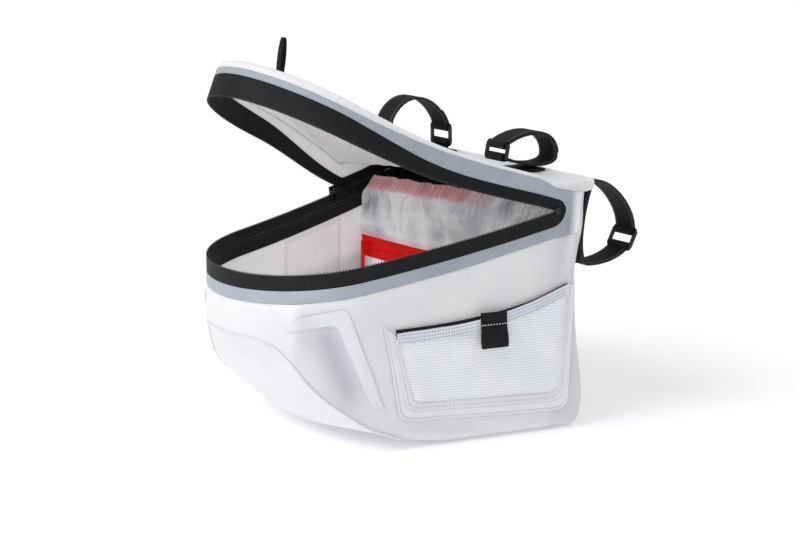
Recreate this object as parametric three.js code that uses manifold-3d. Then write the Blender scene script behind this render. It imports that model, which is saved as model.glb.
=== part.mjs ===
// An open handlebar bag for a bicycle, in millimetres, +Z up.
// The nose points to -Y, the rear wall faces +Y, and the origin is on the underside of the flat base.
import * as THREE from "three";
import { mergeVertices } from "three/addons/utils/BufferGeometryUtils.js";
import Module from "manifold-3d";

const wasm = await Module();
wasm.setup();

// Body plan: two tapering sides that run into an elliptic nose
const REAR_Y = 60;
const REAR_HALF_WIDTH = 115;
const NOSE_Y = -175;
const NOSE_HALF_WIDTH = 85.5;
const NOSE_DEPTH = 78.5;
const TAPER = THREE.MathUtils.degToRad(10.3);
const NOSE_CENTRE_Y = NOSE_Y + NOSE_DEPTH;
const SIDE_END_X = NOSE_HALF_WIDTH * Math.cos(TAPER);
const SIDE_END_Y = NOSE_CENTRE_Y - NOSE_DEPTH * Math.sin(TAPER);
const SIDE_SLOPE = (REAR_HALF_WIDTH - SIDE_END_X) / (REAR_Y - SIDE_END_Y);
const NOSE_SHARE = 0.42;

// Cloth thicknesses and the gap kept between neighbours
const WALL = 1.5;
const TRIM = 1.2;
const GAP = 0.35;
const SIDE_BULGE = 2.5;
const BULGE_FADE_NOSE = 40;
const BULGE_FADE_REAR = { from: 45, to: 5 };

// Height of the lower wall edge, which rises along the keel to the nose
const KEEL_EDGE = [
  { y: -50, z: 0 },
  { y: -84, z: 7 },
  { y: -107, z: 16.5 },
  { y: -121, z: 26 },
  { y: -137, z: 39 },
  { y: -148, z: 52 },
  { y: -155, z: 67 },
  { y: -162, z: 77.5 },
  { y: -169, z: 81 },
  { y: -175, z: 81 },
];
const KEEL_SAG = 13;
const KEEL_SAG_SHARE = 0.6;
const KEEL_FULL_HALF_WIDTH = 45;

// The rear wall swells above its foot, is drawn in at its middle and leans back at its top
const REAR_PROFILE = [
  { z: 0, y: REAR_Y },
  { z: 7, y: 63.2 },
  { z: 22, y: 65.2 },
  { z: 35, y: 64.4 },
  { z: 48, y: 62.6 },
  { z: 62, y: 60.6 },
  { z: 78, y: 58.8 },
  { z: 95, y: 58 },
  { z: 112, y: 58.1 },
  { z: 126, y: 59 },
  { z: 140, y: 60.4 },
  { z: 190, y: 68 },
];

// Zip line round the mouth
const ZIP_END_Y = 38.6;
const ZIP_END_Z = 162.8;
const ZIP_PITCH = THREE.MathUtils.degToRad(9.4);
const ZIP_SAG = 3.6;
const ZIP_CLEARANCE = 0.25;
const TAPE_WIDTH = 11;
const TAPE_END_Y = 46;
const TAPE_ROUND = 10;
const TAPE_LEAST = 1.5;
const BAND_WIDTH = 9;
const PATCH_START_Y = 46.5;

// Lid: a shallow tray, bent up about a skew line between the near zip end and the slider
const LID_SKIRT = 24.5;
const LID_SKIRT_NOSE = 21.5;
const LID_TAPE_EXTRA = 5.8;
const LID_FRONT = { from: 20, to: 125 };
const LID_HEIGHT = 28.5;
const LID_LEVEL_Y = 24;
const LID_REAR_Y = 65.2;
const LID_PANEL_OVERHANG = 8;
const LID_SEAM = 0.9;
const LID_REAR_SKIRT_Z = 176;
const LID_REAR_TOP_Z = 185;
const REAR_PANEL_TOP_Z = 182.4;
const LID_DOME = 1;
const LID_DOME_POWER = 4;
const LID_START_ANGLE = THREE.MathUtils.degToRad(32.5);
const LID_END_ANGLE = THREE.MathUtils.degToRad(36);
const LID_BEND_REACH = 170;
const LID_STRETCH = 1.113;
const LID_NARROWING = 0.11;
const LID_TWIST = 0.063;
const LID_CHANGE_REACH = 100;
const LID_TURN_START = -6;
const LID_TURN_REACH = 46;
const SLIDER_Y = -5;

// Share of the tray's height that is left where the opened lid rolls over along its sides
const LID_ROLL = [
  { y: -130, share: 1 },
  { y: -20, share: 0.84 },
  { y: 25, share: 0.79 },
  { y: LID_REAR_Y, share: 1 },
];

// Zip hardware: plates of the slider, its pull ring, and the stops' size out, along and across the zip
const SLIDER = { plate: 2, inner: 2.7, back: 3, front: 13, half: 5, bridge: 2, bridgeLow: 0.7 };
const PULL = { width: 3.6, length: 14, rail: 1.6, depth: 1.6, forward: 6, drop: -5 };
const ZIP_STOP = [1.5, 4, 5];

// Side pocket, in the wall's own y and z; outer and inner edge of its welded frame
const POCKET_FRAME = [
  { outerY: -98.5, outerZ: 94, innerY: -89.4, innerZ: 86 },
  { outerY: -86, outerZ: 20, innerY: -75, innerZ: 33.5 },
  { outerY: 49, outerZ: 13, innerY: 41.8, innerZ: 28 },
  { outerY: 53.5, outerZ: 109.5, innerY: 48, innerZ: 108.5 },
];
const POCKET_EDGE_GAP = 0.6;
const POCKET_SLACK = 2;
const POCKET_SAG = 6;
const HEM_WIDTH = 8;
const TAB = { y0: -27, y1: -7, z0: 69, z1: 96, thickness: 2 };

// Pale stripe on each side, bent like a 7; outer and inner edge
const STRIPE = [
  { outerY: -151, outerZ: 100.3, innerY: -158, innerZ: 90 },
  { outerY: -123, outerZ: 106.2, innerY: -129.5, innerZ: 94.4 },
  { outerY: -97.1, outerZ: 29.2, innerY: -105.5, innerZ: 31.7 },
];
const STRIPE_THICKNESS = 0.8;

// Organiser pocket across the inside, in front of the rear wall
const ORGANISER_RIGHT_Y = 36;
const ORGANISER_LEFT_Y = 14;
const ORGANISER_BULGE = 6;
const ORGANISER_ZIP_Z0 = 97.5;
const ORGANISER_ZIP_Z1 = 114.5;
const ORGANISER_TOP_RIGHT_Z = 170;
const ORGANISER_TOP_LEFT_Z = 163;
const GATHER_DEPTH = 2.4;
const GATHER_COUNT = 9;
const ORGANISER_SLIDER = { share: 0.95, seat: 0.4, body: [7, 4, 9], strip: [2.6, 1.6, 22] };

// Straps: egg-shaped loops, flat on the side that is sewn on, each closed by a rectangular link
const STRAP_WIDTH = 20;
const STRAP_THICKNESS = 1.8;
const BAR_STRAP_X = 55;
const BAR_STRAPS = [
  {
    side: "right", x: BAR_STRAP_X, y: 49.5, tilt: -7, padStart: 40,
    halfLength: 27, halfHeight: 16.8, taper: 0.25, flat: 0.45, linkAngle: 178,
  },
  {
    side: "left", x: -BAR_STRAP_X, y: 29, tilt: -25, padStart: 24,
    halfLength: 30, halfHeight: 27, taper: -0.12, flat: 0.3, linkAngle: 22,
  },
];
const BAR_PAD = { halfWidth: 15, end: 64, thickness: 1.2, margin: 3 };
const HEAD_STRAP = {
  x: 102, z: 151, tilt: -95,
  halfLength: 32, halfHeight: 42, taper: 0.25, flat: 0.2, linkAngle: 64,
};
const LINK = { length: 12, bar: 2.2, outerRound: 0.8, innerRound: 0.3, sideClearance: 0.7 };
const EYE = { clearance: 0.4, wall: 1.2, lead: 1.15 };
const EYE_RADIUS = LINK.bar * Math.SQRT1_2 + EYE.clearance;
const EYE_OUTER_RADIUS = EYE_RADIUS + EYE.wall;
const LOOP = { y: -132.5, width: 5, length: 4.4, height: 33, tape: 1.6, tilt: -8, seat: 1.6 };

// Mesh steps along the main sheets
const AROUND = 52;
const UPWARDS = 8;
const ALONG = 30;
const ACROSS = 10;
const REAR_ACROSS = 2;
const REAR_UPWARDS = 24;
const PATCH_STEPS = [3, 4];
const POCKET_STEPS = [10, 5];
const FRAME_STEPS = 8;
const STRIPE_STEPS = 6;
const ORGANISER_STEPS = 16;
const GATHER_STEPS = 4;
const PAD_STEPS = 4;
const LOOP_SEGMENTS = 18;
const EYE_SEGMENTS = 8;
const NEAR_ANGLE = 0.01;
const LEAD_STEPS = 90;
const CORNER_SEGMENTS = 3;
const SEAT_REACH = 120;
const SEAT_NEAR = 1.5;
const NOSE_TIP = 0.01;

const { lerp, clamp, smoothstep } = THREE.MathUtils;
const point = (x, y, z) => new THREE.Vector3(x, y, z);
const range = (count) => Array.from({ length: count }, (_, index) => index);

// Straight interpolation in a table whose rows run one way in column "from"
function lookUp(table, from, to, value) {
  const rows = [...table].sort((a, b) => a[from] - b[from]);
  const high = rows.findIndex((row) => row[from] >= value);
  if (high < 0) return rows.at(-1)[to];
  if (high === 0) return rows[0][to];
  const before = rows[high - 1];
  const after = rows[high];
  return lerp(before[to], after[to], (value - before[from]) / (after[from] - before[from]));
}

const rearY = (z) => lookUp(REAR_PROFILE, "z", "y", z);
const lowZ = (y) => lookUp(KEEL_EDGE, "y", "z", y);

function zipZ(y) {
  const forward = ZIP_END_Y - y;
  const share = clamp(forward / (ZIP_END_Y - NOSE_Y), 0, 1);
  return ZIP_END_Z - forward * Math.tan(ZIP_PITCH) - ZIP_SAG * 4 * share * (1 - share);
}

// Depth of a zip tape, which ends in a rounded tip behind the zip
function tapeWidth(y) {
  const share = clamp((y - (TAPE_END_Y - TAPE_ROUND)) / TAPE_ROUND, 0, 1);
  return Math.max(TAPE_LEAST, TAPE_WIDTH * Math.sqrt(1 - share * share));
}

const wallTopZ = (y) => zipZ(y) - TAPE_WIDTH - BAND_WIDTH - GAP;

// Outline of the body from above: 1 is the right rear corner, 0 the nose, -1 the left rear corner
function plan(where, depth, rear = REAR_Y) {
  const side = where < 0 ? -1 : 1;
  const share = Math.abs(where);
  if (share >= NOSE_SHARE) {
    const y = lerp(SIDE_END_Y, rear, (share - NOSE_SHARE) / (1 - NOSE_SHARE));
    return onSide(side, y, depth);
  }
  const angle = lerp(Math.PI / 2, TAPER, share / NOSE_SHARE);
  return onNose(side, angle, depth);
}

function onNose(side, angle, depth) {
  const normal = new THREE.Vector2(Math.cos(angle) / NOSE_HALF_WIDTH, -Math.sin(angle) / NOSE_DEPTH);
  normal.normalize();
  const x = NOSE_HALF_WIDTH * Math.cos(angle) - normal.x * depth;
  const y = NOSE_CENTRE_Y - NOSE_DEPTH * Math.sin(angle) - normal.y * depth;
  return { x: side * x, y };
}

function onSide(side, y, depth) {
  if (y < SIDE_END_Y) return onNose(side, Math.asin((NOSE_CENTRE_Y - y) / NOSE_DEPTH), depth);
  return { x: side * (SIDE_END_X + (y - SIDE_END_Y) * SIDE_SLOPE - depth), y };
}

// How far the slack wall stands out at a height
function bulge(y, z) {
  const share = clamp((z - lowZ(y)) / (wallTopZ(y) - lowZ(y)), 0, 1);
  const front = smoothstep(y, NOSE_Y, SIDE_END_Y + BULGE_FADE_NOSE);
  const rear = smoothstep(y, REAR_Y - BULGE_FADE_REAR.from, REAR_Y - BULGE_FADE_REAR.to);
  return SIDE_BULGE * Math.sin(Math.PI * share) * front * (1 - rear);
}

// A point on a side wall; a negative depth lies outside it
function sidePoint(side, y, z, depth) {
  const at = onSide(side, y, depth - bulge(y, z));
  return point(at.x, at.y, z);
}

// Closed solid between two matching grids of points
function slab(outer, inner) {
  const rows = outer.length;
  const columns = outer[0].length;
  const points = [...outer.flat(), ...inner.flat()];
  const index = (layer, i, j) => (layer * rows + i) * columns + j;
  const faces = [];
  const quad = (a, b, c, d) => faces.push(a, b, c, a, c, d);
  for (let i = 0; i < rows - 1; i++) {
    for (let j = 0; j < columns - 1; j++) {
      quad(index(0, i, j), index(0, i + 1, j), index(0, i + 1, j + 1), index(0, i, j + 1));
      quad(index(1, i, j), index(1, i, j + 1), index(1, i + 1, j + 1), index(1, i + 1, j));
    }
    const last = columns - 1;
    quad(index(0, i, 0), index(1, i, 0), index(1, i + 1, 0), index(0, i + 1, 0));
    quad(index(0, i, last), index(0, i + 1, last), index(1, i + 1, last), index(1, i, last));
  }
  for (let j = 0; j < columns - 1; j++) {
    const last = rows - 1;
    quad(index(0, 0, j), index(0, 0, j + 1), index(1, 0, j + 1), index(1, 0, j));
    quad(index(0, last, j), index(1, last, j), index(1, last, j + 1), index(0, last, j + 1));
  }
  return closedGeometry(points, faces);
}

// Geometry with its faces turned outwards
function closedGeometry(points, faces) {
  let volume = 0;
  for (let f = 0; f < faces.length; f += 3) {
    const [a, b, c] = faces.slice(f, f + 3).map((i) => points[i]);
    volume += a.dot(point(0, 0, 0).crossVectors(b, c));
  }
  const order = volume < 0 ? [...faces].reverse() : faces;
  const geometry = new THREE.BufferGeometry().setFromPoints(points);
  geometry.setIndex(order);
  geometry.computeVertexNormals();
  return geometry;
}

// Sheet of cloth: place(u, v, depth) gives its outer face at depth 0 and its inner face at its thickness
function sheet(rows, columns, thickness, place) {
  const grid = (depth) =>
    range(rows + 1).map((i) => range(columns + 1).map((j) => place(i / rows, j / columns, depth)));
  return slab(grid(0), grid(thickness));
}

// Turns a surface place(u, v) into a sheet that thickens square to itself
function thickened(place, sign) {
  const step = 0.002;
  return (u, v, depth) => {
    const along = place(Math.min(u + step, 1), v).sub(place(Math.max(u - step, 0), v));
    const across = place(u, Math.min(v + step, 1)).sub(place(u, Math.max(v - step, 0)));
    const normal = along.cross(across).normalize();
    return place(u, v).addScaledVector(normal, sign * depth);
  };
}

// Ribbon on a side wall, through stations that give its outer and inner edge
function sideRibbon(side, stations, steps, lift, thickness) {
  const spans = stations.length - 1;
  return sheet(spans * steps, 1, thickness, (u, v, depth) => {
    const span = Math.min(Math.floor(u * spans + 1e-9), spans - 1);
    const share = u * spans - span;
    const [from, to] = [stations[span], stations[span + 1]];
    const y = lerp(lerp(from.outerY, to.outerY, share), lerp(from.innerY, to.innerY, share), v);
    const z = lerp(lerp(from.outerZ, to.outerZ, share), lerp(from.innerZ, to.innerZ, share), v);
    return sidePoint(side, y, z, depth - lift - thickness);
  });
}

// The open lid
const HINGE = (() => {
  const near = onSide(1, ZIP_END_Y, 0);
  const far = onSide(-1, SLIDER_Y, 0);
  const origin = point(near.x, near.y, zipZ(near.y));
  const axis = point(far.x, far.y, zipZ(far.y)).sub(origin);
  const middle = axis.length() / 2;
  axis.normalize();
  const forward = point(0, NOSE_Y, zipZ(NOSE_Y)).sub(origin);
  forward.addScaledVector(axis, -forward.dot(axis)).normalize();
  const up = point(0, 0, 0).crossVectors(forward, axis).normalize();
  if (up.z < 0) up.negate();
  return { origin, axis, forward, up, middle };
})();

// Carries a point of the closed lid, given by plan place and height over the zip line, to the open lid
function lidPoint(x, y, height) {
  const { origin, axis, forward, up, middle } = HINGE;
  const offset = point(x, y, zipZ(y)).sub(origin);
  const ahead = offset.dot(forward);
  const travel = Math.max(ahead, 0) * LID_STRETCH;
  const change = smoothstep(ahead, 0, LID_CHANGE_REACH);
  const aside = offset.dot(axis) - middle;
  const along = middle + aside * (1 - LID_NARROWING * change);
  const standing = height * lookUp(LID_ROLL, "y", "share", y);
  const rise = offset.dot(up) + standing + LID_TWIST * aside * change;
  const rate = (LID_END_ANGLE - LID_START_ANGLE) / LID_BEND_REACH;
  const bent = Math.min(travel, LID_BEND_REACH);
  const angle = LID_START_ANGLE + rate * bent;
  const straight = travel - bent;
  const out = (Math.sin(angle) - Math.sin(LID_START_ANGLE)) / rate + straight * Math.cos(angle);
  const lift = (Math.cos(LID_START_ANGLE) - Math.cos(angle)) / rate + straight * Math.sin(angle);
  const turn = angle * smoothstep(ahead, LID_TURN_START, LID_TURN_START + LID_TURN_REACH);
  const place = origin.clone().addScaledVector(axis, along);
  place.addScaledVector(forward, Math.min(ahead, 0) + out - rise * Math.sin(turn));
  return place.addScaledVector(up, lift + rise * Math.cos(turn));
}

const rearShare = (y) => Math.max((y - LID_LEVEL_Y) / (LID_REAR_Y - LID_LEVEL_Y), 0);
const lidFront = (y) => smoothstep(-y, LID_FRONT.from, LID_FRONT.to);
const lidTapeWidth = (y) => tapeWidth(y) + LID_TAPE_EXTRA * lidFront(y);

function skirtHeight(y) {
  const ahead = lerp(LID_SKIRT, LID_SKIRT_NOSE, lidFront(y));
  return lerp(ahead, LID_REAR_SKIRT_Z - zipZ(LID_REAR_Y), rearShare(y));
}

const lidHeight = (y) => lerp(LID_HEIGHT, LID_REAR_TOP_Z - zipZ(LID_REAR_Y), rearShare(y));

// Height of the domed lid sheet over the zip line
function lidTop(x, y) {
  const halfWidth = Math.max(onSide(1, Math.max(y, NOSE_Y + 1), WALL).x, 1);
  const share = clamp(Math.abs(x) / halfWidth, 0, 1);
  const dome = LID_DOME * (1 - share ** LID_DOME_POWER) * clamp(halfWidth / NOSE_HALF_WIDTH, 0, 1);
  return lidHeight(y) + dome;
}

function lidPanel() {
  return sheet(ALONG, ACROSS, WALL, (u, v, depth) => {
    const edge = plan(lerp(1, NOSE_TIP, u), WALL + LID_SEAM, LID_REAR_Y + LID_PANEL_OVERHANG);
    const x = edge.x * (1 - 2 * v);
    return lidPoint(x, edge.y, lidTop(x, edge.y) - depth);
  });
}

// Strip round the lid between two heights over the zip line
function lidStrip(steps, thickness, end, low, high) {
  return sheet(AROUND, steps, thickness, (u, v, depth) => {
    const edge = plan(1 - 2 * u, 0, end);
    const at = plan(1 - 2 * u, depth, end);
    return lidPoint(at.x, at.y, lerp(low(edge.y), high(edge.y), v));
  });
}

const lidEdge = () => lidStrip(2, WALL, LID_REAR_Y, (y) => skirtHeight(y) + LID_SEAM, lidHeight);
const lidBand = () => lidStrip(1, TRIM, TAPE_END_Y, (y) => lidTapeWidth(y) + GAP, skirtHeight);
const lidTape = () => lidStrip(1, TRIM, TAPE_END_Y, () => ZIP_CLEARANCE, lidTapeWidth);

// The body below the zip
function bodyWall() {
  return sheet(AROUND, UPWARDS, WALL, (u, v, depth) => {
    const where = 1 - 2 * u;
    const flat = plan(where, 0);
    const z = lerp(lowZ(flat.y), wallTopZ(flat.y), v);
    const rear = rearY(z) - WALL - GAP;
    const edge = plan(where, 0, rear);
    const at = plan(where, depth - bulge(edge.y, z), rear);
    return point(at.x, at.y, z);
  });
}

function bodyStrip(thickness, low, high) {
  return sheet(AROUND, 1, thickness, (u, v, depth) => {
    const edge = plan(1 - 2 * u, 0, TAPE_END_Y);
    const at = plan(1 - 2 * u, depth, TAPE_END_Y);
    return point(at.x, at.y, zipZ(edge.y) - lerp(low(edge.y), high(edge.y), v));
  });
}

const bodyBand = () => bodyStrip(TRIM, () => TAPE_WIDTH + BAND_WIDTH, (y) => tapeWidth(y) + GAP);
const bodyTape = () => bodyStrip(TRIM, tapeWidth, () => ZIP_CLEARANCE);

function basePanel() {
  const place = (u, v) => {
    const edge = plan(lerp(1, NOSE_TIP, u), WALL + GAP, REAR_Y - WALL - GAP);
    const x = edge.x * (1 - 2 * v);
    const rise = lowZ(edge.y);
    const sag = Math.min(KEEL_SAG, rise * KEEL_SAG_SHARE) * clamp(edge.x / KEEL_FULL_HALF_WIDTH, 0, 1);
    return point(x, edge.y, rise - sag * (1 - (1 - 2 * v) ** 2));
  };
  return sheet(ALONG, ACROSS, WALL, thickened(place, -1));
}

function rearPanel() {
  return sheet(REAR_ACROSS, REAR_UPWARDS, WALL, (u, v, depth) => {
    const z = REAR_PANEL_TOP_Z * v;
    const half = onSide(1, rearY(z), 0).x;
    return point(lerp(half, -half, u), rearY(z) - depth, z);
  });
}

function cornerPatch(side) {
  return sheet(...PATCH_STEPS, TRIM, (u, v, depth) => {
    const lowest = wallTopZ(PATCH_START_Y) + GAP;
    const guess = lerp(lowest, LID_REAR_SKIRT_Z, v);
    const y = lerp(PATCH_START_Y, rearY(guess) - WALL - GAP, u);
    const at = onSide(side, y, depth);
    if (v > 0.5) return lidPoint(at.x, at.y, skirtHeight(y) * (2 * v - 1));
    return point(at.x, at.y, lerp(wallTopZ(y) + GAP, zipZ(y), 2 * v));
  });
}

// The side pockets and stripes

// Height of the pocket's mouth, which sags between its ends
function pocketTopZ(share) {
  const [frontTop, , , rearTop] = POCKET_FRAME;
  return lerp(frontTop.innerZ, rearTop.innerZ, share) - POCKET_SAG * Math.sin(Math.PI * share);
}

function pocketMesh(side) {
  const [frontTop, frontLow, rearLow, rearTop] = POCKET_FRAME;
  return sheet(...POCKET_STEPS, TRIM, (u, v, depth) => {
    const low = lerp(frontLow.innerY + POCKET_EDGE_GAP, rearLow.innerY - POCKET_EDGE_GAP, u);
    const high = lerp(frontTop.innerY + POCKET_EDGE_GAP, rearTop.innerY - POCKET_EDGE_GAP, u);
    const lowest = lerp(frontLow.innerZ, rearLow.innerZ, u) + POCKET_EDGE_GAP;
    const z = lerp(lowest, pocketTopZ(u), v);
    const slack = POCKET_SLACK * Math.sin(Math.PI * u) * v;
    return sidePoint(side, lerp(low, high, v), z, depth - GAP - TRIM - slack);
  });
}

function pocketHem(side) {
  const [frontTop, , , rearTop] = POCKET_FRAME;
  return sheet(POCKET_STEPS[0], 1, TRIM, (u, v, depth) => {
    const y = lerp(frontTop.innerY + POCKET_EDGE_GAP, rearTop.innerY - POCKET_EDGE_GAP, u);
    const z = pocketTopZ(u) - HEM_WIDTH * (1 - v);
    const slack = POCKET_SLACK * Math.sin(Math.PI * u);
    return sidePoint(side, y, z, depth - 2 * GAP - 2 * TRIM - slack);
  });
}

function pocketTab(side) {
  const lift = 3 * GAP + 2 * TRIM + POCKET_SLACK + TAB.thickness;
  return sheet(1, 3, TAB.thickness, (u, v, depth) => {
    return sidePoint(side, lerp(TAB.y0, TAB.y1, u), lerp(TAB.z0, TAB.z1, v), depth - lift);
  });
}

// The organiser pocket inside
function organiserPoint(share, z, depth, push) {
  const right = sidePoint(1, ORGANISER_RIGHT_Y, z, WALL + GAP);
  const left = sidePoint(-1, ORGANISER_LEFT_Y, z, WALL + GAP);
  const at = right.lerp(left, share);
  at.y += depth - ORGANISER_BULGE * Math.sin(Math.PI * share) - push;
  return at;
}

function organiserUpper() {
  return sheet(GATHER_COUNT * GATHER_STEPS, 3, TRIM, (u, v, depth) => {
    const top = lerp(ORGANISER_TOP_RIGHT_Z, ORGANISER_TOP_LEFT_Z, u);
    const gather = GATHER_DEPTH * v * Math.sin(2 * Math.PI * GATHER_COUNT * u);
    return organiserPoint(u, lerp(ORGANISER_ZIP_Z1 + GAP, top, v), depth, gather);
  });
}

function organiserSheet(columns, low, high) {
  const place = (u, v, depth) => organiserPoint(u, lerp(low, high, v), depth, 0);
  return sheet(ORGANISER_STEPS, columns, TRIM, place);
}

// Straps and hardware
const TO_STRAP_FRAME = new THREE.Matrix4().makeBasis(point(0, 1, 0), point(0, 0, 1), point(1, 0, 0));

// Point of a loop in its own plane, set in from the outer face
function loopPoint({ halfLength, halfHeight, taper, flat }, angle, inset) {
  const [cos, sin] = [Math.cos(angle), Math.sin(angle)];
  const height = (halfHeight - inset) * (1 + taper * cos) * (sin < 0 ? flat : 1);
  return new THREE.Vector2((halfLength - inset) * cos, height * sin);
}

// Flat band of webbing along X, cut from an outline in the YZ plane
function webbingBand(outline, holes, width) {
  const shape = new THREE.Shape(outline);
  shape.holes.push(...holes.map((hole) => new THREE.Path(hole)));
  const geometry = new THREE.ExtrudeGeometry(shape, { depth: width, bevelEnabled: false });
  return geometry.translate(0, 0, -width / 2).applyMatrix4(TO_STRAP_FRAME);
}

function circle(centre, radius, steps, from, to) {
  return range(steps).map((step) => {
    const angle = lerp(from, to, step / steps);
    return new THREE.Vector2(Math.cos(angle), Math.sin(angle)).multiplyScalar(radius).add(centre);
  });
}

// The two ends of a strap, where it folds round the bars of its link
function linkEnds(strap) {
  const middle = THREE.MathUtils.degToRad(strap.linkAngle);
  const at = (angle) => loopPoint(strap, angle, STRAP_THICKNESS / 2);
  const speed = at(middle + NEAR_ANGLE).distanceTo(at(middle - NEAR_ANGLE)) / (2 * NEAR_ANGLE);
  const reach = LINK.length / (2 * speed);
  return [1, -1].map((sign) => {
    const angle = middle + sign * reach;
    const back = at(angle + sign * NEAR_ANGLE).sub(at(angle)).normalize();
    return { angle, centre: at(angle), away: Math.atan2(-back.y, -back.x) };
  });
}

// Open loop of webbing that ends in an eye round each bar of its link
function strapOutline(strap) {
  const ends = linkEnds(strap);
  const open = Math.PI - Math.asin(STRAP_THICKNESS / 2 / EYE_OUTER_RADIUS);
  const lead = (sign, { angle, centre }) => {
    const clear = range(LEAD_STEPS).find((step) => {
      const at = loopPoint(strap, angle + sign * step * NEAR_ANGLE, STRAP_THICKNESS / 2);
      return at.distanceTo(centre) > EYE_OUTER_RADIUS * EYE.lead;
    });
    return angle + sign * clear * NEAR_ANGLE;
  };
  const [first, last] = [lead(1, ends[0]), lead(-1, ends[1]) + 2 * Math.PI];
  const angles = range(LOOP_SEGMENTS + 1).map((step) => lerp(first, last, step / LOOP_SEGMENTS));
  const band = (inset) => angles.map((angle) => loopPoint(strap, angle, inset));
  const arc = ({ centre, away }) =>
    circle(centre, EYE_OUTER_RADIUS, EYE_SEGMENTS + 1, away - open, away + open);
  return [...band(0), ...arc(ends[1]), ...band(STRAP_THICKNESS).reverse(), ...arc(ends[0])];
}

function strapLoop(strap) {
  const eye = ({ centre }) => circle(centre, EYE_RADIUS, EYE_SEGMENTS, 0, 2 * Math.PI);
  const holes = linkEnds(strap).map(eye);
  return webbingBand(strapOutline(strap), holes, STRAP_WIDTH);
}

function roundedFrame(width, height, rail, depth) {
  const trace = (shape, halfWidth, halfHeight, radius) => {
    shape.moveTo(-halfWidth + radius, -halfHeight);
    shape.lineTo(halfWidth - radius, -halfHeight);
    shape.quadraticCurveTo(halfWidth, -halfHeight, halfWidth, -halfHeight + radius);
    shape.lineTo(halfWidth, halfHeight - radius);
    shape.quadraticCurveTo(halfWidth, halfHeight, halfWidth - radius, halfHeight);
    shape.lineTo(-halfWidth + radius, halfHeight);
    shape.quadraticCurveTo(-halfWidth, halfHeight, -halfWidth, halfHeight - radius);
    shape.lineTo(-halfWidth, -halfHeight + radius);
    shape.quadraticCurveTo(-halfWidth, -halfHeight, -halfWidth + radius, -halfHeight);
    return shape;
  };
  const shape = trace(new THREE.Shape(), width / 2 + rail, height / 2 + rail, rail * LINK.outerRound);
  shape.holes.push(trace(new THREE.Path(), width / 2, height / 2, rail * LINK.innerRound));
  const options = { depth, bevelEnabled: false, curveSegments: CORNER_SEGMENTS };
  const geometry = new THREE.ExtrudeGeometry(shape, options);
  return geometry.translate(0, 0, -depth / 2);
}

// Rectangular link between the two ends of a strap
function strapLink(strap) {
  const [start, end] = linkEnds(strap).map(({ centre }) => point(0, centre.x, centre.y));
  const chord = end.clone().sub(start);
  const along = chord.clone().normalize();
  const across = point(1, 0, 0);
  const outward = point(0, 0, 0).crossVectors(across, along);
  const opening = STRAP_WIDTH + 2 * LINK.sideClearance;
  const geometry = roundedFrame(opening, chord.length() - LINK.bar, LINK.bar, LINK.bar);
  geometry.applyMatrix4(new THREE.Matrix4().makeBasis(across, along, outward));
  return geometry.translate(...start.add(end).multiplyScalar(0.5));
}

// Outline of a strap turned to its tilt, as points of the YZ plane
function tiltedOutline(strap) {
  const turn = THREE.MathUtils.degToRad(strap.tilt);
  return strapOutline(strap).map((at) => at.clone().rotateAround(new THREE.Vector2(), turn));
}

// Height at which a tilted loop just clears the pad and the lid below it
function seatHeight(strap) {
  const reach = STRAP_WIDTH / 2 + LINK.sideClearance + LINK.bar;
  const lid = [strap.x - reach, strap.x, strap.x + reach].flatMap((across) =>
    range(SEAT_REACH).map((step) => {
      const from = LID_REAR_Y - step;
      const pad = from > strap.padStart - BAR_PAD.margin ? BAR_PAD.thickness + GAP : 0;
      return lidPoint(across, from, lidTop(across, from) + pad);
    }),
  );
  const heights = tiltedOutline(strap).map((at) => {
    const below = lid.filter((place) => Math.abs(place.y - strap.y - at.x) < SEAT_NEAR);
    return Math.max(...below.map((place) => place.z - at.y));
  });
  return Math.max(...heights) + GAP;
}

// Distance behind the origin at which a tilted loop just clears the rear wall
function seatBehind(strap) {
  return Math.max(...tiltedOutline(strap).map((at) => rearY(strap.z + at.y) - at.x)) + GAP;
}

function barPad({ x, padStart }) {
  return sheet(PAD_STEPS, PAD_STEPS, BAR_PAD.thickness, (u, v, depth) => {
    const across = x + lerp(-BAR_PAD.halfWidth, BAR_PAD.halfWidth, v);
    const y = lerp(padStart, BAR_PAD.end, u);
    return lidPoint(across, y, lidTop(across, y) + GAP + BAR_PAD.thickness - depth);
  });
}

// A solid for joining, from a box given by its corners
function boxSolid([x0, y0, z0], [x1, y1, z1]) {
  const box = new THREE.BoxGeometry(x1 - x0, y1 - y0, z1 - z0);
  box.translate((x0 + x1) / 2, (y0 + y1) / 2, (z0 + z1) / 2);
  box.deleteAttribute("normal");
  box.deleteAttribute("uv");
  const merged = mergeVertices(box);
  const vertProperties = new Float32Array(merged.attributes.position.array);
  const triVerts = new Uint32Array(merged.index.array);
  return new wasm.Manifold(new wasm.Mesh({ numProp: 3, vertProperties, triVerts }));
}

function solidGeometry(solid) {
  const { vertProperties, triVerts } = solid.getMesh();
  const geometry = new THREE.BufferGeometry();
  geometry.setAttribute("position", new THREE.BufferAttribute(vertProperties, 3));
  geometry.setIndex(new THREE.BufferAttribute(triVerts, 1));
  geometry.computeVertexNormals();
  return geometry;
}

// Zip slider in its own frame: X out of the bag, Y forward along the zip, Z across it
function sliderGeometry() {
  const { plate, inner, back, front, half, bridge, bridgeLow } = SLIDER;
  const outside = boxSolid([GAP, -back, -half], [GAP + plate, front, half]);
  const inside = boxSolid([-inner - plate, -back, -half], [-inner, front, half]);
  const postStart = [-inner - plate, front - bridge, bridgeLow];
  const post = boxSolid(postStart, [GAP + plate, front, bridgeLow + bridge]);
  return solidGeometry(outside.add(inside).add(post));
}

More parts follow.
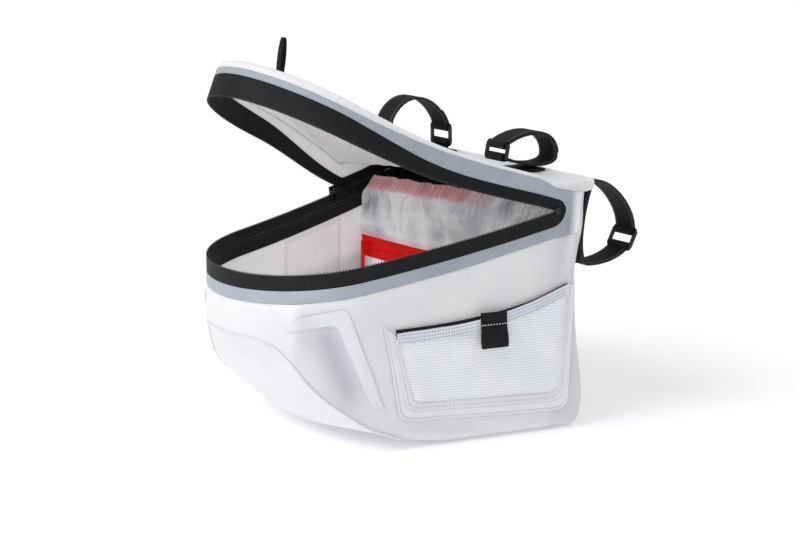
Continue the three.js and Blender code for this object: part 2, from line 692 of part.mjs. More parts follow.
// Places a group on the zip line of a side: X points out, Z across the zip, and Y along it,
// backward on the right side and forward on the left
function onZip(side, y, ...meshes) {
  const at = onSide(side, y, 0);
  const outward = point(side, -SIDE_SLOPE, 0).normalize();
  const along = point(side * SIDE_SLOPE, 1, Math.tan(ZIP_PITCH)).multiplyScalar(side).normalize();
  const up = point(0, 0, 0).crossVectors(outward, along);
  const group = new THREE.Group();
  group.setRotationFromMatrix(new THREE.Matrix4().makeBasis(outward, along, up));
  group.position.set(at.x, at.y, zipZ(y));
  group.add(...meshes);
  return group;
}

// Looks of the pieces
const coated = () => new THREE.MeshStandardMaterial({ color: 0xe6e6ea, roughness: 0.5, metalness: 0 });
const ripstop = () => new THREE.MeshStandardMaterial({ color: 0xa3abb5, roughness: 0.6, metalness: 0 });
const zipTape = () => new THREE.MeshStandardMaterial({ color: 0x212226, roughness: 0.8, metalness: 0 });
const webbing = () => new THREE.MeshStandardMaterial({ color: 0x26262b, roughness: 0.85, metalness: 0 });
const moulded = () => new THREE.MeshStandardMaterial({ color: 0x1c1c1f, roughness: 0.45, metalness: 0 });
const netting = () => new THREE.MeshStandardMaterial({ color: 0xd2d3d9, roughness: 0.8, metalness: 0 });
const reflective = () => new THREE.MeshStandardMaterial({ color: 0xdfe0e3, roughness: 0.4, metalness: 0 });
const thinCloth = () => new THREE.MeshStandardMaterial({ color: 0xeae4e4, roughness: 0.55, metalness: 0 });
const redTape = () => new THREE.MeshStandardMaterial({ color: 0xc92a2c, roughness: 0.7, metalness: 0 });
const metal = () => new THREE.MeshStandardMaterial({ color: 0x8a8c90, roughness: 0.3, metalness: 0.9 });

function piece(name, geometry, material) {
  const mesh = new THREE.Mesh(geometry, material);
  mesh.name = name;
  return mesh;
}

const bag = new THREE.Group();

bag.add(piece("base_panel", basePanel(), coated()));
bag.add(piece("body_wall", bodyWall(), coated()));
bag.add(piece("rear_panel", rearPanel(), coated()));
bag.add(piece("body_band", bodyBand(), ripstop()));
bag.add(piece("body_zip_tape", bodyTape(), zipTape()));

bag.add(piece("lid_panel", lidPanel(), coated()));
bag.add(piece("lid_edge", lidEdge(), coated()));
bag.add(piece("lid_band", lidBand(), ripstop()));
bag.add(piece("lid_zip_tape", lidTape(), zipTape()));

for (const [name, side] of [["right", 1], ["left", -1]]) {
  bag.add(piece(`corner_patch_${name}`, cornerPatch(side), ripstop()));
  const frame = sideRibbon(side, POCKET_FRAME, FRAME_STEPS, GAP, TRIM);
  bag.add(piece(`pocket_frame_${name}`, frame, coated()));
  bag.add(piece(`pocket_mesh_${name}`, pocketMesh(side), netting()));
  bag.add(piece(`pocket_hem_${name}`, pocketHem(side), coated()));
  bag.add(piece(`pocket_tab_${name}`, pocketTab(side), webbing()));
  const stripe = sideRibbon(side, STRIPE, STRIPE_STEPS, GAP, STRIPE_THICKNESS);
  bag.add(piece(`stripe_${name}`, stripe, reflective()));
  const stop = new THREE.BoxGeometry(...ZIP_STOP).translate(GAP + ZIP_STOP[0] / 2, 0, 0);
  bag.add(onZip(side, ZIP_END_Y, piece(`zip_stop_${name}`, stop, moulded())));
}

const pull = roundedFrame(PULL.width, PULL.length, PULL.rail, PULL.depth);
pull.applyMatrix4(new THREE.Matrix4().makeBasis(point(0, 1, 0), point(0, 0, 1), point(1, 0, 0)));
pull.translate(2 * GAP + SLIDER.plate + PULL.depth / 2, PULL.forward, PULL.drop);
const slider = piece("zip_slider", sliderGeometry(), metal());
bag.add(onZip(-1, SLIDER_Y, slider, piece("zip_pull", pull, metal())));

bag.add(piece("organiser_upper", organiserUpper(), thinCloth()));
bag.add(piece("organiser_zip", organiserSheet(1, ORGANISER_ZIP_Z0, ORGANISER_ZIP_Z1), redTape()));
bag.add(piece("organiser_lower", organiserSheet(3, WALL + GAP, ORGANISER_ZIP_Z0 - GAP), thinCloth()));
const zipMiddle = (ORGANISER_ZIP_Z0 + ORGANISER_ZIP_Z1) / 2;
const sliderSeat = organiserPoint(ORGANISER_SLIDER.share, zipMiddle, 0, 0);
const organiserTurn = Math.atan2(ORGANISER_RIGHT_Y - ORGANISER_LEFT_Y, 2 * onSide(1, SLIDER_Y, 0).x);
const organiserZip = new THREE.Group();
organiserZip.position.copy(sliderSeat);
organiserZip.rotation.z = organiserTurn;
const { body, strip } = ORGANISER_SLIDER;
const sliderBody = new THREE.BoxGeometry(...body);
sliderBody.translate(0, -GAP - ORGANISER_SLIDER.seat - body[1] / 2, 0);
const sliderStrip = new THREE.BoxGeometry(...strip);
const stripOut = 2 * GAP + ORGANISER_SLIDER.seat + body[1] + strip[1] / 2;
sliderStrip.translate(0, -stripOut, (body[2] - strip[2]) / 2);
organiserZip.add(piece("organiser_slider", sliderBody, redTape()));
organiserZip.add(piece("organiser_pull", sliderStrip, redTape()));
bag.add(organiserZip);

for (const strap of BAR_STRAPS) {
  bag.add(piece(`bar_pad_${strap.side}`, barPad(strap), webbing()));
  const loop = new THREE.Group();
  loop.position.set(strap.x, strap.y, seatHeight(strap));
  loop.rotation.x = THREE.MathUtils.degToRad(strap.tilt);
  loop.add(piece(`bar_strap_${strap.side}`, strapLoop(strap), webbing()));
  loop.add(piece(`bar_buckle_${strap.side}`, strapLink(strap), moulded()));
  bag.add(loop);
}

const headStrap = new THREE.Group();
headStrap.position.set(HEAD_STRAP.x, seatBehind(HEAD_STRAP), HEAD_STRAP.z);
headStrap.rotation.x = THREE.MathUtils.degToRad(HEAD_STRAP.tilt);
headStrap.add(piece("head_strap", strapLoop(HEAD_STRAP), webbing()));
headStrap.add(piece("head_buckle", strapLink(HEAD_STRAP), moulded()));
bag.add(headStrap);

const loopShape = { halfLength: LOOP.length / 2, halfHeight: LOOP.height / 2, taper: 0, flat: 1 };
const loopOutline = (inset) =>
  range(LOOP_SEGMENTS).map((step) => loopPoint(loopShape, (step / LOOP_SEGMENTS) * 2 * Math.PI, inset));
const loopBand = webbingBand(loopOutline(0), [loopOutline(LOOP.tape)], LOOP.width);
const lidLoop = piece("lid_loop", loopBand, webbing());
lidLoop.position.copy(lidPoint(0, LOOP.y, lidTop(0, LOOP.y)));
lidLoop.position.z += LOOP.height / 2 + LOOP.seat;
lidLoop.rotation.x = THREE.MathUtils.degToRad(LOOP.tilt);
bag.add(lidLoop);

export default bag;
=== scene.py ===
"""Looks of an open bicycle handlebar bag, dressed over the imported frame.

Shapes are worked out in millimetres, in the part's frame, and meshes are made in metres.
"""
import math

import bmesh
import bpy
import numpy as np
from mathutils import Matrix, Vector, noise


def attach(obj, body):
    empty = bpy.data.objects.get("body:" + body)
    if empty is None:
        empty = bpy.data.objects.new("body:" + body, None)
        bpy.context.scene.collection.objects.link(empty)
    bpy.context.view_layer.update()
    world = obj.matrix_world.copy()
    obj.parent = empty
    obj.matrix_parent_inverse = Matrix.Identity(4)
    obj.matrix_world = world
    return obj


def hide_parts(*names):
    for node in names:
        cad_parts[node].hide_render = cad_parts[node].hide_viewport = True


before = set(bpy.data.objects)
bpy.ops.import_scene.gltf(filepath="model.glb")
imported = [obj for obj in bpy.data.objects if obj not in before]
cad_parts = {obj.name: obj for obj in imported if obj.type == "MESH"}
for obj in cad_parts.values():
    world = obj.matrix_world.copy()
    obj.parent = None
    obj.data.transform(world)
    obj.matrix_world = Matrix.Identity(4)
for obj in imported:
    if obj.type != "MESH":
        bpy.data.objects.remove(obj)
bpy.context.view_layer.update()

MM_PER_METRE = 1000
SIDES = {"right": 1, "left": -1}

# Body plan: two tapering sides that run into an elliptic nose
REAR_Y = 60.0
REAR_HALF_WIDTH = 115.0
NOSE_Y = -175.0
NOSE_HALF_WIDTH = 85.5
NOSE_DEPTH = 78.5
TAPER = math.radians(10.3)
NOSE_CENTRE_Y = NOSE_Y + NOSE_DEPTH
SIDE_END_X = NOSE_HALF_WIDTH * math.cos(TAPER)
SIDE_END_Y = NOSE_CENTRE_Y - NOSE_DEPTH * math.sin(TAPER)
SIDE_SLOPE = (REAR_HALF_WIDTH - SIDE_END_X) / (REAR_Y - SIDE_END_Y)
NOSE_SHARE = 0.42
NOSE_TIP = 0.01
BODY_CENTRE = (0.0, -40.0, 80.0)

# Cloth thicknesses and the gaps kept between neighbours
WALL = 1.5
TRIM = 1.2
THIN_TRIM = 0.8
THIN_SHEET = 0.6
GAP = 0.35
SEAM_GAP = 0.1

# Slack of the side walls
SIDE_BULGE = 2.5
BULGE_FADE_NOSE = 40
BULGE_FADE_REAR = (45, 5)
WALL_ROW_POWER = 1.4

# Height of the lower wall edge by y, and the rear wall's y by height
KEEL_EDGE = [
    (-50, 0), (-84, 7), (-107, 16.5), (-121, 26), (-137, 39),
    (-148, 52), (-155, 67), (-162, 77.5), (-169, 81), (-175, 81),
]
KEEL_SAG = 13
KEEL_SAG_SHARE = 0.6
KEEL_FULL_HALF_WIDTH = 45
KEEL_ROUNDING = 5
KEEL_SEAM = {"points": 320, "depth": 0.5, "lift": 0.6, "least_z": 1.2, "radius": 1.1, "out_from": (-40, 30)}
REAR_PROFILE = [
    (0, REAR_Y), (7, 63.2), (22, 65.2), (35, 64.4), (48, 62.6), (62, 60.6), (78, 58.8),
    (95, 58), (112, 58.1), (126, 59), (140, 60.4), (190, 68),
]
REAR_ROUNDING = 5
REAR_PANEL_TOP_Z = 182.4
REAR_END_GAP = 1
REAR_TUCK = WALL + 0.3
REAR_SAG = {"ends": (8, 30), "low": (4, 25), "top": (-180, -150)}
CORNER_RADIUS = 6.5
CORNER_LAP = 6
REAR_TUCK_FADE = (CORNER_LAP - 0.8, CORNER_LAP + 2.4)
LAP_START = 2
LAP_ROWS = 3
TURN_ROWS = 9
FOOT_RADIUS = 7
FOOT_FADE_Z = 9
ROUNDING_STEPS = 9

# Zip line round the mouth
ZIP_END_Y = 38.6
ZIP_END_Z = 162.8
ZIP_PITCH = math.radians(9.4)
ZIP_SAG = 3.6
ZIP_CLEARANCE = 0.25
TAPE_WIDTH = 11
TAPE_END_Y = 46
TAPE_ROUND = 10
TAPE_LEAST = 1.5
TAPE_STITCHES = {"points": 600, "end": 0.97, "proud": 0.15, "height": -8.5, "centre_y": -60}
BAND_WIDTH = 9
TOOTH_POINTS = 700
TOOTH_PITCH = 2.2
BODY_TOOTH_HEIGHT = -0.35
LID_TOOTH_HEIGHT = 0.9

# Corner patches behind the zip, the dark strip inside the rear wall, and a backing panel in the far wall
PATCH_START_Y = TAPE_END_Y + 0.05
PATCH_RISE = 6.3
PATCH_RISE_REACH = 1.3
PATCH_RISE_FROM = 0.75
PATCH_FOLD_REACH = 5
PATCH_WHITE_FROM = 0.3
REAR_DARK_STRIP = {"z": (146, 178), "end_gap": 9, "depth": 2 * WALL + 1}
PANEL = {"y": (-66, -10), "drop": 2, "line": 0.75, "line_width": 1.6, "fill": 0.22, "fill_reach": 3}

# Lid: a shallow tray, bent up about a skew line between the near zip end and the slider
LID_SKIRT = 24.5
LID_SKIRT_NOSE = 21.5
LID_TAPE_EXTRA = 5.8
LID_FRONT = (20, 125)
LID_HEIGHT = 28.5
LID_LEVEL_Y = 24
LID_REAR_Y = 65.2
LID_PANEL_OVERHANG = 8
LID_EDGE_LIFT = 0.27
LID_REAR_SKIRT_Z = 176
LID_REAR_TOP_Z = 185
LID_DOME = 1
LID_DOME_POWER = 4
LID_START_ANGLE = math.radians(32.5)
LID_END_ANGLE = math.radians(36)
LID_BEND_REACH = 170
LID_STRETCH = 1.113
LID_NARROWING = 0.11
LID_TWIST = 0.063
LID_CHANGE_REACH = 100
LID_TURN_START = -6
LID_TURN_REACH = 46
SLIDER_Y = -5
LID_ROLL = [(-130, 1), (-20, 0.84), (25, 0.79), (LID_REAR_Y, 1)]
LID_ROLL_ROUNDING = 14
LID_EDGE_ROUND = 0.85
LID_EDGE_INSET = 5.5
LID_FLARE = 0.4
LID_FAN = 0.35
LID_ROWS = 260
LID_SKIRT_COLUMNS = 4
LID_ROLL_COLUMNS = 9
LID_TOP_COLUMNS = 22
LID_DENT_FADE = (0.1, 0.5)
LID_CENTRE = (0, 0, 100)
LID_DOUBLES = 0.02

# Side pocket: y and z of the outer and inner edge of its welded frame
POCKET_FRAME = [
    (-98.5, 94, -89.4, 86), (-86, 20, -75, 33.5), (49, 13, 41.8, 28), (53.5, 109.5, 48, 108.5),
]
FRAME_ROUNDING = 0.03
FRAME_RIDGES = {"height": 0.55, "sunk": 0.35, "half_width": 0.05, "at": (0.1, 0.62, 0.88)}
# Painted shade along the frame's weld grooves: its strength, half width and places across the frame
FRAME_PAINTED_SHADE = {"shade": 0.8, "half_width": 0.03, "at": (0.03, 0.18, 0.54, 0.74, 0.95)}
FRAME_STITCH_ROWS = (0.75, 0.95)
FRAME_STITCH_END = 4
POCKET_EDGE_GAP = 0.6
POCKET_SLACK = 2
POCKET_SAG = 6
POCKET_TUCK = 3.5
NET_EDGE_LIFT = 0.62
NET_ENDS = (0.02, 0.07)
NET_LOW = (0.04, 0.12)
HEM_WIDTH = 8
HEM_LIFT = 2 * GAP + 2 * TRIM
HEM_RUFFLE = 0.18
HEM_RUFFLE_COUNT = 38
HEM_STITCHES = {"points": 240, "ends": (0.01, 0.99), "proud": 0.12, "rows": (1.6, 4.2, 6.6)}
ZIGZAG_ROW = 1
ZIGZAG_TURN = 0.6
# Dark strip behind the pocket hem that paints the shade of the pocket mouth: depth below the hem's top,
# height shown, and where that height changes
POCKET_MOUTH_SHADE = {"below": 3, "show": (2.3, 0.4), "fade": (0.4, 0.85)}
SIDE_OUT_Y = -0.18

# Pocket tab: its ends in y, and the height and outward place of its webbing from the top down and back up
TAB = {"y": (-27, -7), "stitch_z": 86.5, "stitch_inset": 0.6, "stitch_points": 40, "thickness": 1.3}
TAB_FOLD = [
    (96, 0), (91, 0.1), (86.5, 0), (82, 0.9), (77.5, 2.1), (73, 2.7), (70.2, 2.5),
    (69, 1.4), (70.4, 0.2), (73.5, -0.5), (78, -0.6), (82, -0.5), (84, -0.4),
]
TAB_ROUNDING = 0.035
TAB_LIFT = HEM_LIFT + GAP + POCKET_SLACK + 1.6
TAB_STITCH_PROUD = 0.15

# Reflective stripe: y and z of its two edges
STRIPE = [
    (-151, 100.3, -158, 90), (-123, 106.2, -129.5, 94.4), (-97.1, 29.2, -105.5, 31.7),
]
STRIPE_THICKNESS = 0.8
STRIPE_ROUNDING = 0.045

# Organiser pocket across the inside, in front of the rear wall
ORGANISER_RIGHT_Y = 36
ORGANISER_LEFT_Y = 14
ORGANISER_BULGE = 6
ORGANISER_ZIP = (97.5, 114.5)
ORGANISER_TOP = (170, 163)
ORGANISER_RUN = 190
ORGANISER_SAG_FADE = (0, 0.3)
ORGANISER_CORNER = 11
ORGANISER_CORNER_FROM = 0.95
ORGANISER_CORNER_LIMIT = 0.98
CASING = 0.79
CASING_LEAN = 7
CASING_PINK = 0.9
CASING_EDGE = (CASING - 0.02, CASING + 0.05)
CASING_NEAR = (0.2, 0.5)
CASING_FAR = (0.005, 0.05)
PINCH = {"depth": 1.6, "half_width": 0.025}
GATHER_DEPTH = 2.4
GATHER_COUNT = 9
GATHER_FROM = 0.2
GATHER_DRIFT = {"run": 900, "level": 7}
RUFFLE_DEPTH = 0.8
RUFFLE_COUNT = 56
RUFFLE_FROM = 0.5
RUFFLE_DRIFT = 4
PUFF_SQUASH = (1, 1, 0.7)
PUFF_LEVEL = 1.5
PUFF_LOW = (0.0, 0.25)
PUFF_TOP = (0, 0.2)
UPPER_ENDS = (0, 0.03)
# Painted highlight along the casing's ruffle crests: the pink that is kept, how much it drops on a crest,
# and how sharp the crest is
CREST_HIGHLIGHT = {"level": 0.85, "depth": 0.4, "power": 3}
ZIP_PINK = 0.4
ZIP_PINK_FADE = (0.88, 0.96)
BEHIND = (0, 400, 120)
COIL = {"points": 300, "ends": (0.01, 0.99), "push": 0.5}

# Straps, with the height or setback at which each one is seated
STRAP_WIDTH = 20
STRAP_THICKNESS = 1.8
STRAPS = {
    "bar_strap_right": {
        "at": (55, 49.5, 196.6), "tilt": -7, "half_length": 27, "half_height": 16.8,
        "taper": 0.25, "flat": 0.45, "link": 178, "sewn_to": "bar_pad_right", "end": (8, 162),
    },
    "bar_strap_left": {
        "at": (-55, 29, 201.6), "tilt": -25, "half_length": 30, "half_height": 27,
        "taper": -0.12, "flat": 0.3, "link": 22, "sewn_to": "bar_pad_left", "end": (36, 66),
    },
    "head_strap": {
        "at": (102, 70.8, 151), "tilt": -95, "half_length": 32, "half_height": 42,
        "taper": 0.25, "flat": 0.2, "link": 64, "sewn_to": "rear_panel", "end": None,
    },
}
STRAP_END_PROUD = 1.0
STRAP_END_THICKNESS = 0.95
# Painted highlight along both edges of the webbing: its place and half width across the strap
EDGE_HIGHLIGHT = {"at": 0.44, "half_width": 0.045}
LINK_LENGTH = 12
LINK_BAR = 2.2
EYE_RADIUS = LINK_BAR * math.sqrt(0.5) + 0.4
EYE_THICKNESS = 1.2
EYE_OUTER_RADIUS = EYE_RADIUS + EYE_THICKNESS
EYE_LEAD = 0.5
ANGLE_STEP = 0.01
PADS = {"bar_pad_right": (55, 40), "bar_pad_left": (-55, 24)}
PAD_HALF_WIDTH = 15
PAD_END = 64
PAD_THICKNESS = 1.2
PAD_BELOW = (40, 0)
LOOP = {"y": -132.5, "width": 5, "length": 4.4, "height": 33, "tape": 1.6, "tilt": -8, "seat": 1.6}

# Creases of the side walls: y and z of both ends, depth outward, and half width
# The hollow's crease also darkens the wall's colour as painted shade.
HOLLOW = (-113, 28, -141, 104, -5.6, 12)
CREASES = [
    HOLLOW,
    (62, 176, 46, 116, 2.2, 2.0),
    (66, 168, 51, 108, -2.4, 2.3),
    (56, 178, 43, 130, -1.8, 2.4),
    (-60, 112, -20, 128, -0.7, 7),
    (-153, 68, -151, 118, 2.6, 5),
    (-70, 18, -20, 10, -1.6, 9),
    (10, 126, 46, 116, -0.6, 5),
]
CREASE_FADE = (-0.1, 0.3)
FOLD_FADE = (0, 0.1)
DENT_FADE_LOW = (0, 0.16)
DENT_FADE_TOP = (0, 0.12)
DENT_FADE_REAR = (3, 22)

# Noise in the cloth: depth, size and seed, and the shift of its field for each step of a seed
NOISE = {
    "dent": (1.7, 58, 1), "ruck": (0.35, 17, 2), "drift": (0.5, 90, 3), "rear": (0.7, 45, 4),
    "puff": (13, 42, 5), "lid": (0.9, 46, 6), "small_puff": (6.5, 19, 6), "lower": (1.2, 40, 8),
    "net": (1.4, 24, 9),
}
NOISE_SHIFT = (17.3, 5.1, 9.7)

# Rows and columns of each sheet's grid of points
GRIDS = {
    "wall": (320, 60), "base": (110, 44), "rear": (72, 60), "facing": (60, 8), "patch": (20, 40),
    "strip": (300, 8), "frame": (180, 40), "frame_stitches": (240, 20), "net": (120, 60), "hem": (160, 6),
    "tab": (60, 12), "stripe": (90, 8), "upper": (560, 60), "organiser_zip": (160, 10),
    "organiser_lower": (160, 40), "strap": (150, 22), "strap_end": (60, 22), "eye": (28, 10),
    "pad": (40, 24), "loop": (64, 8),
}

# Stitches, teeth and coils: pitch, then half of the length, height and width of one bead
BEADS = {
    "hem": (2.1, 0.62, 0.24, 0.26), "frame": (3.0, 0.95, 0.3, 0.34), "tab": (2.3, 0.75, 0.3, 0.32),
    "tape": (3.2, 0.9, 0.22, 0.26), "coil": (1.6, 0.6, 0.5, 1.3), "teeth": (TOOTH_PITCH, 0.5, 0.75, 1.3),
}
BEAD_RINGS = 5
BEAD_SIDES = 8
BEAD_TIP = 0.02
TUBE_SIDES = 10
SHARP_ANGLE = math.radians(50)


def mix(low, high, share):
    return low + (high - low) * share


def smooth(value, low, high):
    share = np.clip((np.asarray(value, float) - low) / (high - low), 0, 1)
    return share * share * (3 - 2 * share)


def both_ends(share, low, high):
    """Fade at both ends of a run from 0 to 1."""
    return smooth(share, low, high) * smooth(1 - share, low, high)


def peak(value, half_width):
    """Rounded peak of height 1 round zero."""
    return np.exp(-((value / half_width) ** 2))


def rounded_table(rows, reach):
    """Reader of a table of pairs by straight lines, with its corners rounded over a reach."""
    keys, values = np.array(sorted(rows), float).T
    steps = np.linspace(-reach, reach, ROUNDING_STEPS)

    def read(at):
        at = np.asarray(at, float)
        return np.mean([np.interp(at + step, keys, values) for step in steps], axis=0)

    return read


def along_stations(stations, u, reach):
    """Each column of a table of evenly spaced stations, read at shares along it."""
    marks = np.linspace(0, 1, len(stations))
    return [rounded_table(list(zip(marks, column)), reach)(u) for column in zip(*stations)]


low_z = rounded_table(KEEL_EDGE, KEEL_ROUNDING)
rear_y = rounded_table(REAR_PROFILE, REAR_ROUNDING)
lid_roll = rounded_table(LID_ROLL, LID_ROLL_ROUNDING)


def grid(sheet):
    """Shares along and across a sheet, at the points of its grid."""
    rows, columns = GRIDS[sheet]
    return np.meshgrid(np.linspace(0, 1, rows + 1), np.linspace(0, 1, columns + 1), indexing="ij")


def points(x, y, z):
    return np.stack(np.broadcast_arrays(x, y, z), axis=-1).astype(float)


def zip_z(y):
    forward = ZIP_END_Y - np.asarray(y, float)
    share = np.clip(forward / (ZIP_END_Y - NOSE_Y), 0, 1)
    return ZIP_END_Z - forward * math.tan(ZIP_PITCH) - ZIP_SAG * 4 * share * (1 - share)


def tape_width(y):
    """Depth of a zip tape, which ends in a rounded tip behind the zip."""
    share = np.clip((np.asarray(y, float) - (TAPE_END_Y - TAPE_ROUND)) / TAPE_ROUND, 0, 1)
    return np.maximum(TAPE_LEAST, TAPE_WIDTH * np.sqrt(1 - share * share))


def wall_top_z(y):
    return zip_z(y) - TAPE_WIDTH - BAND_WIDTH - GAP


def on_nose(angle, depth):
    across = np.cos(angle) / NOSE_HALF_WIDTH
    ahead = -np.sin(angle) / NOSE_DEPTH
    size = np.hypot(across, ahead)
    x = NOSE_HALF_WIDTH * np.cos(angle) - across / size * depth
    y = NOSE_CENTRE_Y - NOSE_DEPTH * np.sin(angle) - ahead / size * depth
    return x, y


def on_side(side, y, depth):
    y = np.asarray(y, float)
    nose_x, nose_y = on_nose(np.arcsin(np.clip((NOSE_CENTRE_Y - y) / NOSE_DEPTH, -1, 1)), depth)
    straight_x = SIDE_END_X + (y - SIDE_END_Y) * SIDE_SLOPE - depth
    ahead = y < SIDE_END_Y
    return side * np.where(ahead, nose_x, straight_x), np.where(ahead, nose_y, y)


def plan(where, depth, rear=REAR_Y):
    """Outline from above: 1 is the right rear corner, 0 the nose, -1 the left rear corner."""
    share = np.abs(where)
    side = np.where(np.asarray(where) < 0, -1.0, 1.0)
    behind = np.clip((share - NOSE_SHARE) / (1 - NOSE_SHARE), 0, 1)
    side_x, side_y = on_side(1, mix(SIDE_END_Y, rear, behind), depth)
    angle = mix(math.pi / 2, TAPER, np.clip(share / NOSE_SHARE, 0, 1))
    nose_x, nose_y = on_nose(angle, depth)
    ahead = share < NOSE_SHARE
    return side * np.where(ahead, nose_x, side_x), np.where(ahead, nose_y, side_y)


def soft_noise(places, kind):
    depth, size, seed = NOISE[kind]
    shift = Vector([seed * step for step in NOISE_SHIFT])
    flat = places.reshape(-1, 3) / size
    heights = np.array([noise.noise(Vector(place) + shift) for place in flat])
    return depth * heights.reshape(places.shape[:-1])


def crease(y, z, row):
    """Gaussian fold along a line on a side wall, fading at its ends."""
    y0, z0, y1, z1, depth, half_width = row
    length = math.hypot(y1 - y0, z1 - z0)
    along = ((y - y0) * (y1 - y0) + (z - z0) * (z1 - z0)) / length**2
    aside = ((y - y0) * (z1 - z0) - (z - z0) * (y1 - y0)) / length
    return depth * peak(aside, half_width) * both_ends(along, *CREASE_FADE)


def bulge(side, y, z):
    """How far the slack wall stands out, with its dents and creases."""
    y, z = np.broadcast_arrays(np.asarray(y, float), np.asarray(z, float))
    share = np.clip((z - low_z(y)) / (wall_top_z(y) - low_z(y)), 0, 1)
    front = smooth(y, NOSE_Y, SIDE_END_Y + BULGE_FADE_NOSE)
    rear = smooth(y, REAR_Y - BULGE_FADE_REAR[0], REAR_Y - BULGE_FADE_REAR[1])
    main = SIDE_BULGE * np.sin(math.pi * share) * front * (1 - rear)
    x, _ = on_side(side, y, 0)
    places = points(x, y, z)
    dents = soft_noise(places, "dent") + soft_noise(places, "ruck")
    fade = smooth(share, *DENT_FADE_LOW) * smooth(1 - share, *DENT_FADE_TOP)
    fade = fade * smooth(REAR_Y - y, *DENT_FADE_REAR)
    folds = sum(crease(y, z, row) for row in CREASES)
    return main + dents * fade + folds * smooth(share, *FOLD_FADE)


def side_point(side, y, z, depth):
    x, at_y = on_side(side, y, depth - bulge(side, y, z))
    return points(x, at_y, z)


def side_out(side, count):
    """Outward directions along a side wall."""
    return np.tile([side, SIDE_OUT_Y, 0.0], (count, 1))


def make_hinge():
    near_x, near_y = on_side(1, ZIP_END_Y, 0)
    far_x, far_y = on_side(-1, SLIDER_Y, 0)
    origin = points(near_x, near_y, zip_z(near_y))
    axis = points(far_x, far_y, zip_z(far_y)) - origin
    middle = np.linalg.norm(axis) / 2
    axis /= 2 * middle
    forward = points(0, NOSE_Y, zip_z(NOSE_Y)) - origin
    forward -= axis * (forward @ axis)
    forward /= np.linalg.norm(forward)
    up = np.cross(forward, axis)
    return origin, axis, forward, up * math.copysign(1, up[2]), middle


HINGE = make_hinge()


def lid_point(x, y, height):
    """Carries a point of the closed lid, by plan place and height over the zip line, to the open lid."""
    origin, axis, forward, up, middle = HINGE
    offset = points(x, y, zip_z(y)) - origin
    ahead = offset @ forward
    travel = np.maximum(ahead, 0) * LID_STRETCH
    change = smooth(ahead, 0, LID_CHANGE_REACH)
    aside = offset @ axis - middle
    along = middle + aside * (1 - LID_NARROWING * change)
    rise = offset @ up + height * lid_roll(y) + LID_TWIST * aside * change
    rate = (LID_END_ANGLE - LID_START_ANGLE) / LID_BEND_REACH
    bent = np.minimum(travel, LID_BEND_REACH)
    angle = LID_START_ANGLE + rate * bent
    straight = travel - bent
    out = (np.sin(angle) - math.sin(LID_START_ANGLE)) / rate + straight * np.cos(angle)
    lift = (math.cos(LID_START_ANGLE) - np.cos(angle)) / rate + straight * np.sin(angle)
    turn = angle * smooth(ahead, LID_TURN_START, LID_TURN_START + LID_TURN_REACH)
    forth = np.minimum(ahead, 0) + out - rise * np.sin(turn)
    above = lift + rise * np.cos(turn)
    return origin + along[..., None] * axis + forth[..., None] * forward + above[..., None] * up


def rear_share(y):
    share = np.maximum((np.asarray(y, float) - LID_LEVEL_Y) / (LID_REAR_Y - LID_LEVEL_Y), 0)
    return np.where(share > 1, share, smooth(share, 0, 1))


def lid_front(y):
    return smooth(-np.asarray(y, float), *LID_FRONT)


def lid_tape_width(y):
    return tape_width(y) + LID_TAPE_EXTRA * lid_front(y)


def skirt_height(y):
    ahead = mix(LID_SKIRT, LID_SKIRT_NOSE, lid_front(y))
    return mix(ahead, LID_REAR_SKIRT_Z - zip_z(LID_REAR_Y), rear_share(y))


def lid_height(y):
    return mix(LID_HEIGHT, LID_REAR_TOP_Z - zip_z(LID_REAR_Y), rear_share(y))


def lid_top(x, y):
    half_width = np.maximum(on_side(1, np.maximum(y, NOSE_Y + 1), WALL)[0], 1)
    share = np.clip(np.abs(x) / half_width, 0, 1)
    dome = LID_DOME * (1 - share**LID_DOME_POWER) * np.clip(half_width / NOSE_HALF_WIDTH, 0, 1)
    return lid_height(y) + dome


# Meshes
def normals(surface, away_from):
    """Unit normals of a grid of points that face away from a place."""
    normal = np.cross(np.gradient(surface, axis=0), np.gradient(surface, axis=1))
    normal /= np.maximum(np.linalg.norm(normal, axis=-1, keepdims=True), 1e-9)
    facing = np.sum(normal * (surface - np.array(away_from, float)))
    return normal if facing > 0 else -normal


def run_lengths(surface, axis):
    steps = np.linalg.norm(np.diff(surface, axis=axis), axis=-1)
    widths = [(0, 0), (0, 0)]
    widths[axis] = (1, 0)
    return np.pad(np.cumsum(steps, axis=axis), widths)


def add_object(name, data, place=(0, 0, 0), turn=(0, 0, 0)):
    made = bpy.data.objects.new(name, data)
    made.location = place
    made.rotation_euler = turn
    bpy.context.collection.objects.link(made)
    return made


def link_mesh(name, verts, faces, look, doubles=0.0):
    """Mesh object from millimetre points, riding on the bag. look is a material and the name of its slot,
    which is not used.
    """
    material, slot = look
    mesh = bpy.data.meshes.new(name)
    mesh.from_pydata((np.asarray(verts, float) / MM_PER_METRE).tolist(), [], faces)
    tidy = bmesh.new()
    tidy.from_mesh(mesh)
    if doubles:
        bmesh.ops.remove_doubles(tidy, verts=tidy.verts, dist=doubles / MM_PER_METRE)
    bmesh.ops.recalc_face_normals(tidy, faces=tidy.faces)
    tidy.to_mesh(mesh)
    tidy.free()
    mesh.shade_smooth()
    mesh.set_sharp_from_angle(angle=SHARP_ANGLE)
    mesh.materials.append(material)
    piece = add_object(name, mesh)
    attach(piece, "root")
    return piece


def add_attribute(piece, name, kind, values):
    layer = piece.data.attributes.new(name, kind, "POINT")
    key = "vector" if kind == "FLOAT_VECTOR" else "value"
    layer.data.foreach_set(key, np.asarray(values, np.float32).ravel())


